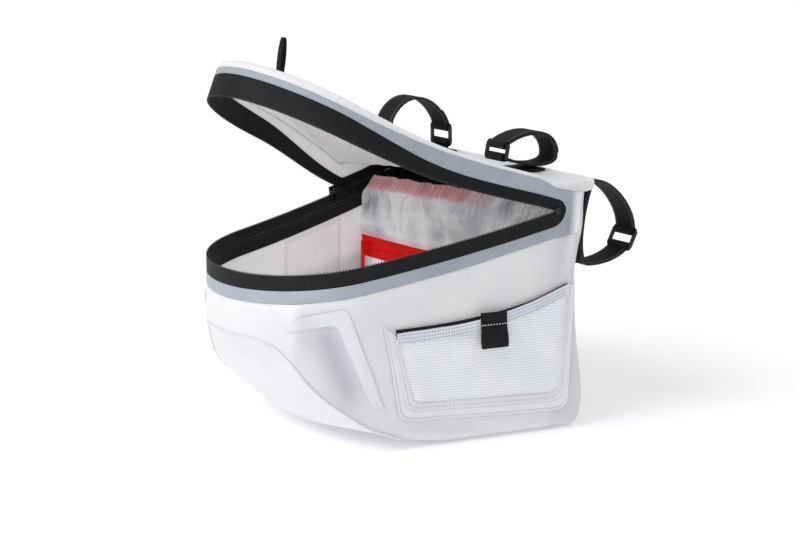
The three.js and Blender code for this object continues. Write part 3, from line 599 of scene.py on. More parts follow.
def slab_faces(rows, columns, rims):
    count = rows * columns
    index = np.arange(count).reshape(rows, columns)
    top = np.stack([index[:-1, :-1], index[1:, :-1], index[1:, 1:], index[:-1, 1:]], -1).reshape(-1, 4)
    faces = [top, top[:, ::-1] + count]
    borders = {"first": index[0], "last": index[-1], "low": index[:, 0], "high": index[:, -1]}
    for rim in rims:
        edge = borders[rim]
        faces.append(np.stack([edge[:-1], edge[1:], edge[1:] + count, edge[:-1] + count], -1))
    return np.concatenate(faces)


def ring_faces(rows, sides):
    """Faces between rings of points, and the numbers of the points by ring."""
    index = np.arange(rows * sides).reshape(rows, sides)
    after = np.roll(index, -1, axis=1)
    return np.stack([index[:-1], index[1:], after[1:], after[:-1]], -1).reshape(-1, 4), index


ALL_RIMS = ("first", "last", "low", "high")


# Each sheet can carry a per-point share of its look's second colour: real colour changes on some sheets,
# painted shade and painted highlights on others.
def cloth(name, surface, thickness, look, nodes=(), away_from=BODY_CENTRE,
          rims=ALL_RIMS, tint_and_painted_light=None, doubles=0.0, lining=None):
    """Sheet with a thickness behind a grid of points, whose runs are kept for the weave."""
    inner = surface - normals(surface, away_from) * thickness
    rows, columns = surface.shape[:2]
    verts = np.concatenate([surface.reshape(-1, 3), inner.reshape(-1, 3)])
    piece = link_mesh(name, verts, slab_faces(rows, columns, rims).tolist(), look, doubles)
    along, across = run_lengths(surface, 0), run_lengths(surface, 1)
    if not doubles:
        weave = points(along, across, 0).reshape(-1, 3)
        add_attribute(piece, "weave", "FLOAT_VECTOR", np.concatenate([weave, weave]))
        shade = np.zeros((rows, columns)) if tint_and_painted_light is None else tint_and_painted_light
        add_attribute(piece, "tint_and_painted_light", "FLOAT", np.concatenate([shade.ravel(), shade.ravel()]))
    if lining:
        piece.data.materials.append(lining[0])
        outer_count = (rows - 1) * (columns - 1)
        for polygon in piece.data.polygons[outer_count:2 * outer_count]:
            polygon.material_index = 1
    if nodes:
        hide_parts(*nodes)
    return piece


def frames_along(path, out):
    """Tangent, outward and cross directions at each point of a path."""
    tangent = np.gradient(path, axis=0)
    tangent /= np.linalg.norm(tangent, axis=-1, keepdims=True)
    out = out - tangent * np.sum(out * tangent, axis=-1, keepdims=True)
    out /= np.linalg.norm(out, axis=-1, keepdims=True)
    return tangent, out, np.cross(tangent, out)


def resample(path, pitch, start):
    """Indices, as fractions, of points that lie a pitch apart along a path."""
    length = np.concatenate([[0], np.cumsum(np.linalg.norm(np.diff(path, axis=0), axis=-1))])
    return np.interp(np.arange(start, length[-1], pitch), length, np.arange(len(path)))


def at_index(values, index):
    low = np.clip(index.astype(int), 0, len(values) - 2)
    share = (index - low)[:, None]
    return values[low] * (1 - share) + values[low + 1] * share


def bead_template():
    """Unit bead along x, as points and faces."""
    polar = (math.pi * (np.arange(BEAD_RINGS + 1) + BEAD_TIP) / (BEAD_RINGS + 2 * BEAD_TIP))[:, None]
    turn = 2 * math.pi * np.arange(BEAD_SIDES) / BEAD_SIDES
    verts = points(-np.cos(polar), np.sin(polar) * np.cos(turn), np.sin(polar) * np.sin(turn))
    faces, _ = ring_faces(BEAD_RINGS + 1, BEAD_SIDES)
    return verts.reshape(-1, 3), faces


def beads(name, kind, path, out, look, start=0.0, turn=0.0):
    """Row of beads along a path, for stitches and zip teeth."""
    pitch, *half_sizes = BEADS[kind]
    index = resample(path, pitch, start)
    centre = at_index(path, index)
    tangent, outward, across = (at_index(way, index) for way in frames_along(path, out))
    leaning = tangent * math.cos(turn) + across * math.sin(turn)
    aside = across * math.cos(turn) - tangent * math.sin(turn)
    verts, faces = bead_template()
    scaled = verts * np.array(half_sizes)
    placed = centre[:, None] + sum(
        scaled[None, :, axis, None] * way[:, None] for axis, way in enumerate((leaning, outward, aside))
    )
    steps = np.arange(len(centre))[:, None, None] * len(verts)
    return link_mesh(name, placed.reshape(-1, 3), (faces[None] + steps).reshape(-1, 4).tolist(), look)


def tube(name, path, out, radius, look):
    """Round bead of cloth along a path."""
    _, outward, across = frames_along(path, out)
    turns = np.linspace(0, 2 * math.pi, TUBE_SIDES, endpoint=False)[None, :, None]
    rings = path[:, None] + radius * (np.cos(turns) * outward[:, None] + np.sin(turns) * across[:, None])
    faces, index = ring_faces(len(path), TUBE_SIDES)
    ends = [index[0].tolist(), index[-1].tolist()]
    return link_mesh(name, rings.reshape(-1, 3), faces.tolist() + ends, look)


# Materials, with the screen colours that each one blends
COLOURS = {
    "coated_shell": [(243, 242, 246), (236, 235, 241)],
    "welded_frame": [(236, 235, 240), (229, 228, 234)],
    "pocket_hem": [(229, 231, 237), (214, 218, 227)],
    "pale_thread": [(246, 246, 248), (236, 236, 240)],
    "grey_thread": [(112, 119, 134), (84, 91, 107)],
    "ripstop_band": [(176, 181, 191), (163, 169, 180), (142, 149, 160), (226, 226, 231)],
    "zip_tape": [(11, 12, 15), (23, 24, 28)],
    # The webbing's third colour is a painted highlight along its edges.
    "webbing": [(8, 8, 11), (28, 28, 34), (66, 67, 75)],
    "moulded_plastic": [(20, 20, 23), (34, 34, 38)],
    "zip_coil": [(30, 31, 35), (62, 63, 69)],
    "mesh_net": [(251, 253, 255), (246, 249, 254), (198, 203, 216)],
    "reflective_stripe": [(214, 216, 222), (228, 230, 234)],
    "thin_cloth": [(255, 255, 255), (192, 192, 199), (236, 128, 136)],
    "red_tape": [(208, 6, 10), (246, 22, 24)],
    "zip_metal": [(30, 30, 33), (56, 56, 61)],
    "floor": [(241, 241, 242), (238, 238, 240)],
}
# Colour of the painted shade in the wall's hollow and along the frame's weld lines, and of the darker tone
# where the backing panel shows through the far wall.
PAINTED_SHADE_AND_PANEL_TONE = (194, 193, 202)
WHITE = (1.0, 1.0, 1.0, 1.0)
NOISE_ROUGHNESS = 0.55


def linear(value):
    """Linear share of a screen value of 0 to 255."""
    return ((value / 255 + 0.055) / 1.055) ** 2.4 if value > 10 else value / 255 / 12.92


def colour(screen):
    return (*(linear(value) for value in screen), 1.0)


class Look:
    """Procedural material: a principled shader and the nodes that feed it."""

    def __init__(self, name, **sockets):
        self.material = bpy.data.materials.new(name)
        self.material.use_nodes = True
        self.tree = self.material.node_tree
        self.shader = self.tree.nodes["Principled BSDF"]
        self.colours = [colour(screen) for screen in COLOURS[name]]
        for socket, value in sockets.items():
            self.shader.inputs[socket.replace("_", " ")].default_value = value

    def join(self, value, socket):
        if isinstance(value, bpy.types.NodeSocket):
            self.tree.links.new(value, socket)
        else:
            socket.default_value = value

    def add(self, kind, inputs=None, **settings):
        node = self.tree.nodes.new(kind)
        for key, value in settings.items():
            setattr(node, key, value)
        for key, value in (inputs or {}).items():
            self.join(value, node.inputs[key])
        return node

    def attribute(self, name, output="Vector"):
        return self.add("ShaderNodeAttribute", attribute_name=name).outputs[output]

    def noise(self, scale, detail=3.0):
        place = self.add("ShaderNodeTexCoord").outputs["Object"]
        inputs = {"Vector": place, "Scale": scale, "Detail": detail, "Roughness": NOISE_ROUGHNESS}
        return self.add("ShaderNodeTexNoise", inputs).outputs["Fac"]

    def waves(self, axis, pitch):
        """Even ribs along one axis of the weave, with a pitch in millimetres."""
        inputs = {"Vector": self.attribute("weave"), "Scale": math.pi / 10 / pitch}
        return self.add("ShaderNodeTexWave", inputs, bands_direction=axis).outputs["Fac"]

    def span(self, value, low, high, to_low=0, to_high=1):
        inputs = {"Value": value, "From Min": low, "From Max": high, "To Min": to_low, "To Max": to_high}
        return self.add("ShaderNodeMapRange", inputs).outputs["Result"]

    def cloud(self, scale, detail=3.0, low=0.3, high=0.7, to_low=0, to_high=1):
        """Noise that is stretched to fill a range."""
        return self.span(self.noise(scale, detail), low, high, to_low, to_high)

    def math(self, operation, first, second):
        return self.add("ShaderNodeMath", {0: first, 1: second}, operation=operation).outputs["Value"]

    def blend(self, share, first, second):
        node = self.add("ShaderNodeMix", data_type="RGBA")
        first_socket, second_socket = [socket for socket in node.inputs if socket.type == "RGBA"]
        self.join(share, node.inputs["Factor"])
        self.join(first, first_socket)
        self.join(second, second_socket)
        return next(socket for socket in node.outputs if socket.type == "RGBA")

    def blend_tint_and_painted_light(self, base, shade):
        """Blend towards a second colour by the sheet's per-point share, which holds real colour changes as
        well as painted shade and painted highlights.
        """
        return self.blend(self.attribute("tint_and_painted_light", "Fac"), base, shade)

    def feed(self, socket, value):
        self.tree.links.new(value, self.shader.inputs[socket])

    def finish(self, base, roughness, *bumps):
        """Feeds the shader. Each bump is a height, a strength and the metres that full height stands for."""
        self.feed("Base Color", base)
        self.feed("Roughness", roughness)
        below = {}
        for height, strength, distance in bumps:
            inputs = {"Height": height, "Strength": strength, "Distance": distance}
            below = {"Normal": self.add("ShaderNodeBump", inputs | below).outputs["Normal"]}
        self.feed("Normal", below["Normal"])
        return self.material


def coated_look(name, through=0.0):
    radius = (0.008, 0.0075, 0.0074)
    look = Look(name, Subsurface_Weight=through, Subsurface_Radius=radius, Subsurface_Scale=1.0)
    base = look.blend(look.cloud(26, low=0.35, high=0.65), *look.colours)
    roughness = look.cloud(140, to_low=0.42, to_high=0.56)
    creases = (look.noise(95, 4), 0.35, 0.0006)
    grain = (look.noise(1400, 2), 0.25, 0.00012)
    # Where a sheet asks for it, the second colour is painted shade.
    return look.finish(look.blend_tint_and_painted_light(base, colour(PAINTED_SHADE_AND_PANEL_TONE)), roughness, creases, grain)


def ripstop_look():
    look = Look("ripstop_band", Sheen_Weight=0.15, Sheen_Roughness=0.5)
    light, dark, line, white = look.colours
    lines = look.math("MAXIMUM", look.waves("X", 1.7), look.waves("Y", 1.7))
    thread = look.span(lines, 0.8, 0.98)
    cloud = look.cloud(60)
    lined = look.blend(thread, look.blend(cloud, light, dark), line)
    roughness = look.span(cloud, 0, 1, 0.5, 0.62)
    grain = (look.noise(700, 2), 0.3, 0.0001)
    return look.finish(look.blend_tint_and_painted_light(lined, white), roughness, (thread, 0.5, 0.00015), grain)


def tape_look():
    look = Look("zip_tape", Specular_IOR_Level=0.22)
    ribs = look.math("MULTIPLY", look.waves("X", 0.8), look.waves("Y", 0.8))
    cloud = look.cloud(180, 4)
    roughness = look.span(cloud, 0, 1, 0.5, 0.68)
    grain = (look.noise(900, 3), 0.5, 0.0002)
    return look.finish(look.blend(cloud, *look.colours), roughness, (ribs, 0.5, 0.00018), grain)


def webbing_look():
    look = Look("webbing", Specular_IOR_Level=0.22)
    dark, light, edge = look.colours
    rows = look.waves("X", 1.25)
    checks = look.math("MULTIPLY", rows, look.waves("Y", 1.6))
    wear = look.cloud(120, 4, to_low=0.5)
    cloud = look.math("MULTIPLY", wear, look.span(checks, 0, 1, 0.55, 1))
    # edge is the colour of the painted highlight along the webbing's edges.
    base = look.blend_tint_and_painted_light(look.blend(cloud, dark, light), edge)
    roughness = look.span(checks, 0, 1, 0.72, 0.5)
    return look.finish(base, roughness, (checks, 0.7, 0.00035), (rows, 0.4, 0.0002))


def plastic_look(name):
    look = Look(name, IOR=1.48, Specular_IOR_Level=0.4)
    base = look.blend(look.cloud(160, 4), *look.colours)
    roughness = look.cloud(420, to_low=0.26, to_high=0.42)
    return look.finish(base, roughness, (look.noise(1800, 2), 0.25, 0.00008))


def net_look():
    radius = (0.004, 0.004, 0.004)
    look = Look("mesh_net", Subsurface_Weight=0.15, Subsurface_Radius=radius, Subsurface_Scale=0.5)
    light, dark, gap = look.colours
    rows = look.waves("Y", 2.1)
    holes = look.math("MULTIPLY", look.waves("X", 1.5), rows)
    cloud = look.cloud(40, low=0.35, high=0.65)
    base = look.blend(look.span(holes, 0.5, 0.72), look.blend(cloud, light, dark), gap)
    roughness = look.span(cloud, 0, 1, 0.6, 0.75)
    knots = (look.span(holes, 0, 0.72, 1, 0), 0.8, 0.0004)
    return look.finish(base, roughness, knots, (rows, 0.4, 0.0003))


def stripe_look():
    look = Look("reflective_stripe", Metallic=0.15)
    grain = look.noise(2600, 2)
    base = look.blend(look.span(grain, 0.35, 0.65), *look.colours)
    return look.finish(base, look.cloud(90, to_low=0.3, to_high=0.42), (grain, 0.3, 0.00006))


def thin_look():
    radius = (0.002, 0.002, 0.002)
    look = Look("thin_cloth", Subsurface_Weight=0.25, Subsurface_Radius=radius, Subsurface_Scale=1.0)
    light, dark, pink = look.colours
    cloud = look.cloud(34, low=0.42, high=0.68)
    # The pink share also carries the painted highlight on the casing's ruffle crests.
    base = look.blend_tint_and_painted_light(look.blend(cloud, light, dark), pink)
    lines = look.math("MAXIMUM", look.waves("X", 2.4), look.waves("Y", 2.4))
    crumple = (look.noise(70, 5), 0.8, 0.0016)
    thread = (look.span(lines, 0.86, 0.99), 0.35, 0.00012)
    return look.finish(base, look.span(cloud, 0, 1, 0.2, 0.34), crumple, thread)


def red_look():
    look = Look("red_tape", Specular_IOR_Level=0.2)
    rows = look.math("MULTIPLY", look.waves("X", 1.4), look.waves("Y", 1.1))
    wear = look.cloud(150, to_low=0.4)
    cloud = look.math("MULTIPLY", wear, look.span(rows, 0, 1, 0.6, 1))
    roughness = look.span(rows, 0, 1, 0.65, 0.48)
    return look.finish(look.blend(cloud, *look.colours), roughness, (rows, 0.7, 0.0004))


def metal_look():
    look = Look("zip_metal", Metallic=1.0)
    cloud = look.cloud(220, 4)
    roughness = look.span(cloud, 0, 1, 0.22, 0.36)
    return look.finish(look.blend(cloud, *look.colours), roughness, (look.noise(900, 2), 0.2, 0.00006))


def floor_look():
    look = Look("floor", Roughness=0.9, Emission_Color=WHITE, Emission_Strength=0.2)
    look.feed("Base Color", look.blend(look.noise(6), *look.colours))
    return look.material


# Each look is a material and the name of a slot
SHELL = (coated_look("coated_shell", through=0.75), "coated_shell")
CLEAR = (coated_look("welded_frame"), "coated_shell")
HEM = (coated_look("pocket_hem"), "coated_shell")
THREAD = (coated_look("pale_thread"), "coated_shell")
GREY_THREAD = (coated_look("grey_thread"), "coated_shell")
TAPE_THREAD = (GREY_THREAD[0], "zip_tape")
RIPSTOP = (ripstop_look(), "ripstop_band")
TAPE = (tape_look(), "zip_tape")
WEBBING = (webbing_look(), "webbing")
MOULDED = (plastic_look("moulded_plastic"), "moulded_plastic")
TEETH = (plastic_look("zip_coil"), "moulded_plastic")
NET = (net_look(), "mesh_net")
REFLECTIVE = (stripe_look(), "reflective_stripe")
THIN = (thin_look(), "thin_cloth")
RED = (red_look(), "red_tape")
METAL = (metal_look(), "zip_metal")


# The body below the zip
def foot_inset(y, z):
    """How far the wall curves in where it turns under to the flat base."""
    share = np.clip(1 - (z - low_z(y)) / FOOT_RADIUS, 0, 1)
    return FOOT_RADIUS * (1 - np.sqrt(1 - share * share)) * smooth(-low_z(y), -FOOT_FADE_Z, 0)


def corner_wrap(end, side):
    """Rows that carry the rear end of a side sheet round the corner, from the seam to that end."""
    turns = np.linspace(math.pi / 2, 0, TURN_ROWS)
    lap = CORNER_RADIUS + np.linspace(CORNER_LAP, LAP_START, LAP_ROWS)
    inward = np.concatenate([lap, CORNER_RADIUS * (1 - np.cos(turns))])
    rearward = np.concatenate([np.full(LAP_ROWS, CORNER_RADIUS), CORNER_RADIUS * np.sin(turns)])
    return end + points(-side * inward, rearward, 0)[:, None]


def panel_shade(y, z):
    """Faint outline of a backing panel that shows through the far wall."""
    inside = np.minimum.reduce([y - PANEL["y"][0], PANEL["y"][1] - y, wall_top_z(y) - PANEL["drop"] - z])
    line = PANEL["line"] * peak(inside, PANEL["line_width"])
    return line + PANEL["fill"] * smooth(inside, 0, PANEL["fill_reach"])


def wall_surface():
    u, v = grid("wall")
    where = 1 - 2 * u
    _, flat_y = plan(where, 0)
    z = mix(low_z(flat_y), wall_top_z(flat_y), v**WALL_ROW_POWER)
    rear = rear_y(z) - CORNER_RADIUS
    edge_x, edge_y = plan(where, 0, rear)
    x, y = plan(where, foot_inset(edge_y, z) - bulge(np.sign(edge_x), edge_y, z), rear)
    sides = points(x, y, z)
    # Painted shade: the wall darkens along the hollow crease. The far wall also darkens where its backing
    # panel shows through.
    shade = crease(edge_y, z, HOLLOW) / HOLLOW[4] + panel_shade(edge_y, z) * (edge_x < 0)
    added = LAP_ROWS + TURN_ROWS - 1
    shade = np.pad(shade, ((added, added), (0, 0)))
    return np.concatenate([corner_wrap(sides[0], 1), sides[1:-1], corner_wrap(sides[-1], -1)[::-1]]), shade


def strip_surface(low, high, placed):
    """Strip along the zip between two heights over the zip line."""
    u, v = grid("strip")
    x, y = plan(1 - 2 * u, 0, TAPE_END_Y)
    return placed(x, y, mix(low(y), high(y), v))


def on_body(x, y, height):
    return points(x, y, zip_z(y) + height)


def base_surface():
    u, v = grid("base")
    where = mix(1, NOSE_TIP, u)
    rear = REAR_Y - WALL - GAP
    _, flat_y = plan(where, 0, rear)
    rise = low_z(flat_y)
    edge_x, edge_y = plan(where, WALL / 2 + foot_inset(flat_y, rise), rear)
    across = 1 - 2 * v
    sag = np.minimum(KEEL_SAG, rise * KEEL_SAG_SHARE) * np.clip(edge_x / KEEL_FULL_HALF_WIDTH, 0, 1)
    return points(edge_x * across, edge_y, rise - sag * (1 - across**2))


def rear_surface():
    """Rear wall, whose ends are tucked under the ends of the side sheets."""
    u, v = grid("rear")
    z = REAR_PANEL_TOP_Z * v
    side_x, _ = on_side(1, rear_y(z) - CORNER_RADIUS, 0)
    reach = side_x - foot_inset(REAR_Y, z) - CORNER_RADIUS - REAR_END_GAP
    x = reach * np.cos(math.pi * u)
    from_end = reach - np.abs(x)
    tuck = REAR_TUCK * (1 - smooth(from_end, *REAR_TUCK_FADE))
    fade = smooth(from_end, *REAR_SAG["ends"]) * smooth(z, *REAR_SAG["low"]) * smooth(-z, *REAR_SAG["top"])
    sag = soft_noise(points(x, 0, z), "rear") * fade
    return points(x, rear_y(z) - tuck + sag, z)


def rear_dark_strip_surface():
    """Dark strip inside the top of the rear wall."""
    u, v = grid("facing")
    z = mix(*REAR_DARK_STRIP["z"], v)
    side_x, _ = on_side(1, rear_y(z) - CORNER_RADIUS, 0)
    return points((side_x - REAR_DARK_STRIP["end_gap"]) * (1 - 2 * u), rear_y(z) - REAR_DARK_STRIP["depth"], z)


def patch_surface(side):
    """Sheet that closes the corner behind the zip, with the share of white in its colour."""
    u, v = grid("patch")
    lowest = wall_top_z(PATCH_START_Y) + GAP
    y = mix(PATCH_START_Y, rear_y(mix(lowest, LID_REAR_SKIRT_Z, v)) - CORNER_RADIUS, u)
    on_lid = v > 0.5
    height = skirt_height(y) * (2 * v - 1)
    z = np.where(on_lid, zip_z(y) + height, mix(wall_top_z(y) + GAP, zip_z(y), 2 * v))
    folds = sum(crease(y, z, row) for row in CREASES)
    folds = folds * smooth(y, PATCH_START_Y, PATCH_START_Y + PATCH_FOLD_REACH)
    x, at_y = on_side(side, y, -folds)
    sheet = np.where(on_lid[..., None], lid_point(x, at_y, height), points(x, at_y, z))
    wrap = corner_wrap(sheet[-1], side)[::-1]
    inward = np.abs(wrap[:, :1, 0] - wrap[:1, :1, 0])
    rise = PATCH_RISE * (1 - np.exp(-inward / PATCH_RISE_REACH))
    wrap[..., 2] += rise * smooth(v[:1], PATCH_RISE_FROM, 1)
    fade = np.concatenate([smooth(u, PATCH_WHITE_FROM, 1.0), np.ones((len(wrap) - 1, u.shape[1]))])
    return np.concatenate([sheet, wrap[1:]]), fade


def keel_path():
    where = np.linspace(1, -1, KEEL_SEAM["points"])
    rear = REAR_Y - CORNER_RADIUS
    _, flat_y = plan(where, 0, rear)
    rise = low_z(flat_y)
    x, y = plan(where, KEEL_SEAM["depth"] + foot_inset(flat_y, rise), rear)
    path = points(x, y, np.maximum(rise + KEEL_SEAM["lift"], KEEL_SEAM["least_z"]))
    from_y, from_z = KEEL_SEAM["out_from"]
    return path, points(x, y - from_y, -from_z)


cloth("base_panel_cloth", base_surface(), WALL, SHELL, ["base_panel"])
wall, wall_shade = wall_surface()
cloth("body_wall_cloth", wall, WALL, SHELL, ["body_wall"], tint_and_painted_light=wall_shade)
cloth("rear_panel_cloth", rear_surface(), WALL, SHELL, ["rear_panel"])
body_band = strip_surface(lambda y: -TAPE_WIDTH - BAND_WIDTH, lambda y: -tape_width(y) - SEAM_GAP, on_body)
cloth("body_band_cloth", body_band, TRIM, RIPSTOP, ["body_band"], lining=TAPE)
body_tape = strip_surface(lambda y: -tape_width(y), lambda y: -ZIP_CLEARANCE, on_body)
cloth("body_zip_tape_cloth", body_tape, TRIM, TAPE, ["body_zip_tape"])
for name, side in SIDES.items():
    patch, fade = patch_surface(side)
    cloth(f"corner_patch_{name}_cloth", patch, TRIM, RIPSTOP, [f"corner_patch_{name}"],
          tint_and_painted_light=fade, lining=TAPE)
cloth("rear_dark_strip", rear_dark_strip_surface(), THIN_SHEET, TAPE, ())
seam_path, seam_out = keel_path()
tube("keel_seam", seam_path, seam_out, KEEL_SEAM["radius"], SHELL)


# The open lid
def lid_shell_surface():
    """Lid sheet and its edge in one, rolled over along the edge and fanned round the nose."""
    where = 1 - 2 * np.linspace(0, 1, LID_ROWS + 1)[:, None]
    rise = np.linspace(0, 1, LID_SKIRT_COLUMNS + 1)[:-1]
    turns = np.linspace(0, math.pi / 2, LID_ROLL_COLUMNS)
    full = np.ones(LID_TOP_COLUMNS)
    inset = LID_EDGE_INSET * np.concatenate([0 * rise, 1 - np.cos(turns), full])
    drop = LID_EDGE_ROUND * np.concatenate([np.ones_like(rise), 1 - np.sin(turns), 0 * full])
    flare = np.concatenate([LID_FLARE * rise, mix(LID_FLARE, 1, np.sin(turns)), full])
    lift = np.concatenate([rise, np.ones_like(turns), full])
    inward = np.concatenate([0 * rise, 0 * turns, np.linspace(0, 1, LID_TOP_COLUMNS + 1)[1:]])
    edge_x, edge_y = plan(where, inset, LID_REAR_Y + LID_PANEL_OVERHANG * flare)
    spine_y = np.where(np.abs(where) < NOSE_SHARE, mix(SIDE_END_Y, edge_y, LID_FAN), edge_y)
    x = edge_x * (1 - inward)
    y = mix(edge_y, spine_y, inward)
    skirt = skirt_height(edge_y) + LID_EDGE_LIFT
    top = lid_height(edge_y) - drop * (lid_height(edge_y) - skirt)
    height = mix(skirt, top, lift) + (lid_top(x, y) - lid_height(y)) * (inward > 0)
    dents = soft_noise(points(x, y, 0), "lid") * smooth(inward, *LID_DENT_FADE)
    return lid_point(x, y, height + dents)


cloth("lid_shell_cloth", lid_shell_surface(), WALL, SHELL, ["lid_panel", "lid_edge"],
      LID_CENTRE, rims=("first", "last", "low"), doubles=LID_DOUBLES)
lid_band = strip_surface(lambda y: lid_tape_width(y) + SEAM_GAP, skirt_height, lid_point)
cloth("lid_band_cloth", lid_band, TRIM, RIPSTOP, ["lid_band"], lining=SHELL)
lid_tape = strip_surface(lambda y: ZIP_CLEARANCE, lid_tape_width, lid_point)
cloth("lid_zip_tape_cloth", lid_tape, TRIM, TAPE, ["lid_zip_tape"])


def tooth_path(placed, height):
    where = np.linspace(1, -1, TOOTH_POINTS)
    path = placed(*plan(where, TRIM / 2, ZIP_END_Y), height)
    return path, placed(*plan(where, 0, ZIP_END_Y), height) - path


beads("body_zip_teeth", "teeth", *tooth_path(on_body, BODY_TOOTH_HEIGHT), TEETH)
beads("lid_zip_teeth", "teeth", *tooth_path(lid_point, LID_TOOTH_HEIGHT), TEETH, start=TOOTH_PITCH / 2)


# The side pockets and stripes
def ribbon_surface(side, stations, sheet, lift, reach, profile=np.zeros_like):
    u, v = grid(sheet)
    outer_y, outer_z, inner_y, inner_z = along_stations(stations, u, reach)
    return side_point(side, mix(outer_y, inner_y, v), mix(outer_z, inner_z, v), -lift - profile(v))


def peaks(v, row):
    """Rounded peaks across a strip, at the places that a row names."""
    return sum(peak(v - middle, row["half_width"]) for middle in row["at"])


def frame_ridges(v):
    """Welded ridges along the pocket's frame."""
    return FRAME_RIDGES["height"] * peaks(v, FRAME_RIDGES) - FRAME_RIDGES["sunk"]


def frame_painted_shade(v):
    """Painted shade along the weld lines of the pocket's frame, darkening the grooves beside its ridges and
    stitches.
    """
    return FRAME_PAINTED_SHADE["shade"] * peaks(v, FRAME_PAINTED_SHADE)


def pocket_edges(u):
    front_top, front_low, rear_low, rear_top = POCKET_FRAME
    low_y = mix(front_low[2] + POCKET_EDGE_GAP, rear_low[2] - POCKET_EDGE_GAP, u)
    high_y = mix(front_top[2] + POCKET_EDGE_GAP, rear_top[2] - POCKET_EDGE_GAP, u)
    lowest = mix(front_low[3], rear_low[3], u) + POCKET_EDGE_GAP
    highest = mix(front_top[3], rear_top[3], u) - POCKET_SAG * np.sin(math.pi * np.clip(u, 0, 1))
    return low_y, high_y, lowest, highest


def pocket_slack(u):
    return POCKET_SLACK * np.sin(math.pi * u)


def net_surface(side):
    u, v = grid("net")
    low_y, high_y, lowest, highest = pocket_edges(u)
    y = mix(low_y, high_y, v) + POCKET_TUCK * (2 * u - 1)
    z = mix(lowest - POCKET_TUCK, highest, v)
    inside = both_ends(u, *NET_ENDS) * smooth(v, *NET_LOW)
    ruck = soft_noise(points(0, y, z), "net") * inside
    lift = mix(NET_EDGE_LIFT, GAP + TRIM + SEAM_GAP, inside)
    return side_point(side, y, z, -lift - pocket_slack(u) * v - ruck)


def hem_surface(side, below, above, out):
    u, v = grid("hem")
    _, y, _, highest = pocket_edges(u)
    z = highest + mix(-below, above(u), v)
    ruffle = HEM_RUFFLE * np.sin(2 * math.pi * HEM_RUFFLE_COUNT * u)
    return side_point(side, y, z, -out - pocket_slack(u) - ruffle)


def mouth_shade_height(u):
    """How far the dark strip behind the hem, a painted shade of the pocket mouth, shows above it."""
    return mix(*POCKET_MOUTH_SHADE["show"], smooth(u, *POCKET_MOUTH_SHADE["fade"]))


def frame_row(side, across):
    """Line along the pocket's frame, at a share of the way across it."""
    lift = GAP + TRIM + SEAM_GAP
    surface = ribbon_surface(side, POCKET_FRAME, "frame_stitches", lift, FRAME_ROUNDING)
    column = int(across * GRIDS["frame_stitches"][1])
    path = surface[FRAME_STITCH_END:-FRAME_STITCH_END, column]
    return path, side_out(side, len(path))


def hem_row(side, below):
    u = np.linspace(*HEM_STITCHES["ends"], HEM_STITCHES["points"])
    _, y, _, highest = pocket_edges(u)
    out = HEM_LIFT + pocket_slack(u) + HEM_STITCHES["proud"]
    return side_point(side, y, highest - below, -out), side_out(side, len(u))


def tab_surface(side):
    """Webbing tab: sewn flat above its stitches, then a slack loop that folds back behind itself."""
    u, v = grid("tab")
    z, out = along_stations(TAB_FOLD, u, TAB_ROUNDING)
    return side_point(side, mix(*TAB["y"], v), z, -TAB_LIFT - out)


def tab_row(side):
    first, last = TAB["y"]
    y = np.linspace(first + TAB["stitch_inset"], last - TAB["stitch_inset"], TAB["stitch_points"])
    return side_point(side, y, TAB["stitch_z"], -TAB_LIFT - TAB_STITCH_PROUD), side_out(side, len(y))


for name, side in SIDES.items():
    ribbon = ribbon_surface(side, POCKET_FRAME, "frame", GAP + TRIM, FRAME_ROUNDING, frame_ridges)
    # The frame's colour carries painted shade along its weld lines.
    cloth(f"pocket_frame_{name}_cloth", ribbon, TRIM - FRAME_RIDGES["sunk"], CLEAR, [f"pocket_frame_{name}"],
          tint_and_painted_light=frame_painted_shade(grid("frame")[1]))
    hem_sheet = hem_surface(side, HEM_WIDTH, np.zeros_like, HEM_LIFT)
    hem = cloth(f"pocket_hem_{name}_cloth", hem_sheet, TRIM, HEM, [f"pocket_hem_{name}"])
    # Painted shade: a dark strip behind the hem stands for the shade in the pocket mouth.
    mouth_shade_sheet = hem_surface(side, POCKET_MOUTH_SHADE["below"], mouth_shade_height, GAP + TRIM)
    mouth_shade_strip = cloth(f"pocket_mouth_shade_{name}", mouth_shade_sheet, THIN_TRIM, TAPE)
    cloth(f"pocket_mesh_{name}_cloth", net_surface(side), THIN_TRIM, NET, [f"pocket_mesh_{name}"])
    for row, below in enumerate(HEM_STITCHES["rows"]):
        turn = ZIGZAG_TURN if row == ZIGZAG_ROW else 0.0
        beads(f"hem_stitches_{name}_{row}", "hem", *hem_row(side, below), GREY_THREAD, turn=turn)
    for row, across in enumerate(FRAME_STITCH_ROWS):
        beads(f"frame_stitches_{name}_{row}", "frame", *frame_row(side, across), THREAD)
    cloth(f"pocket_tab_{name}_cloth", tab_surface(side), TAB["thickness"], WEBBING, [f"pocket_tab_{name}"])
    beads(f"tab_stitches_{name}", "tab", *tab_row(side), THREAD)
    film = ribbon_surface(side, STRIPE, "stripe", GAP + STRIPE_THICKNESS, STRIPE_ROUNDING)
    cloth(f"stripe_{name}_film", film, STRIPE_THICKNESS, REFLECTIVE, [f"stripe_{name}"])


# The organiser pocket inside
def organiser_point(share, z, push):
    right_x, right_y = on_side(1, ORGANISER_RIGHT_Y, WALL + GAP)
    left_x, left_y = on_side(-1, ORGANISER_LEFT_Y, WALL + GAP)
    y = mix(right_y, left_y, share) - ORGANISER_BULGE * np.sin(math.pi * share) - push
    return points(mix(right_x, left_x, share), y, z)


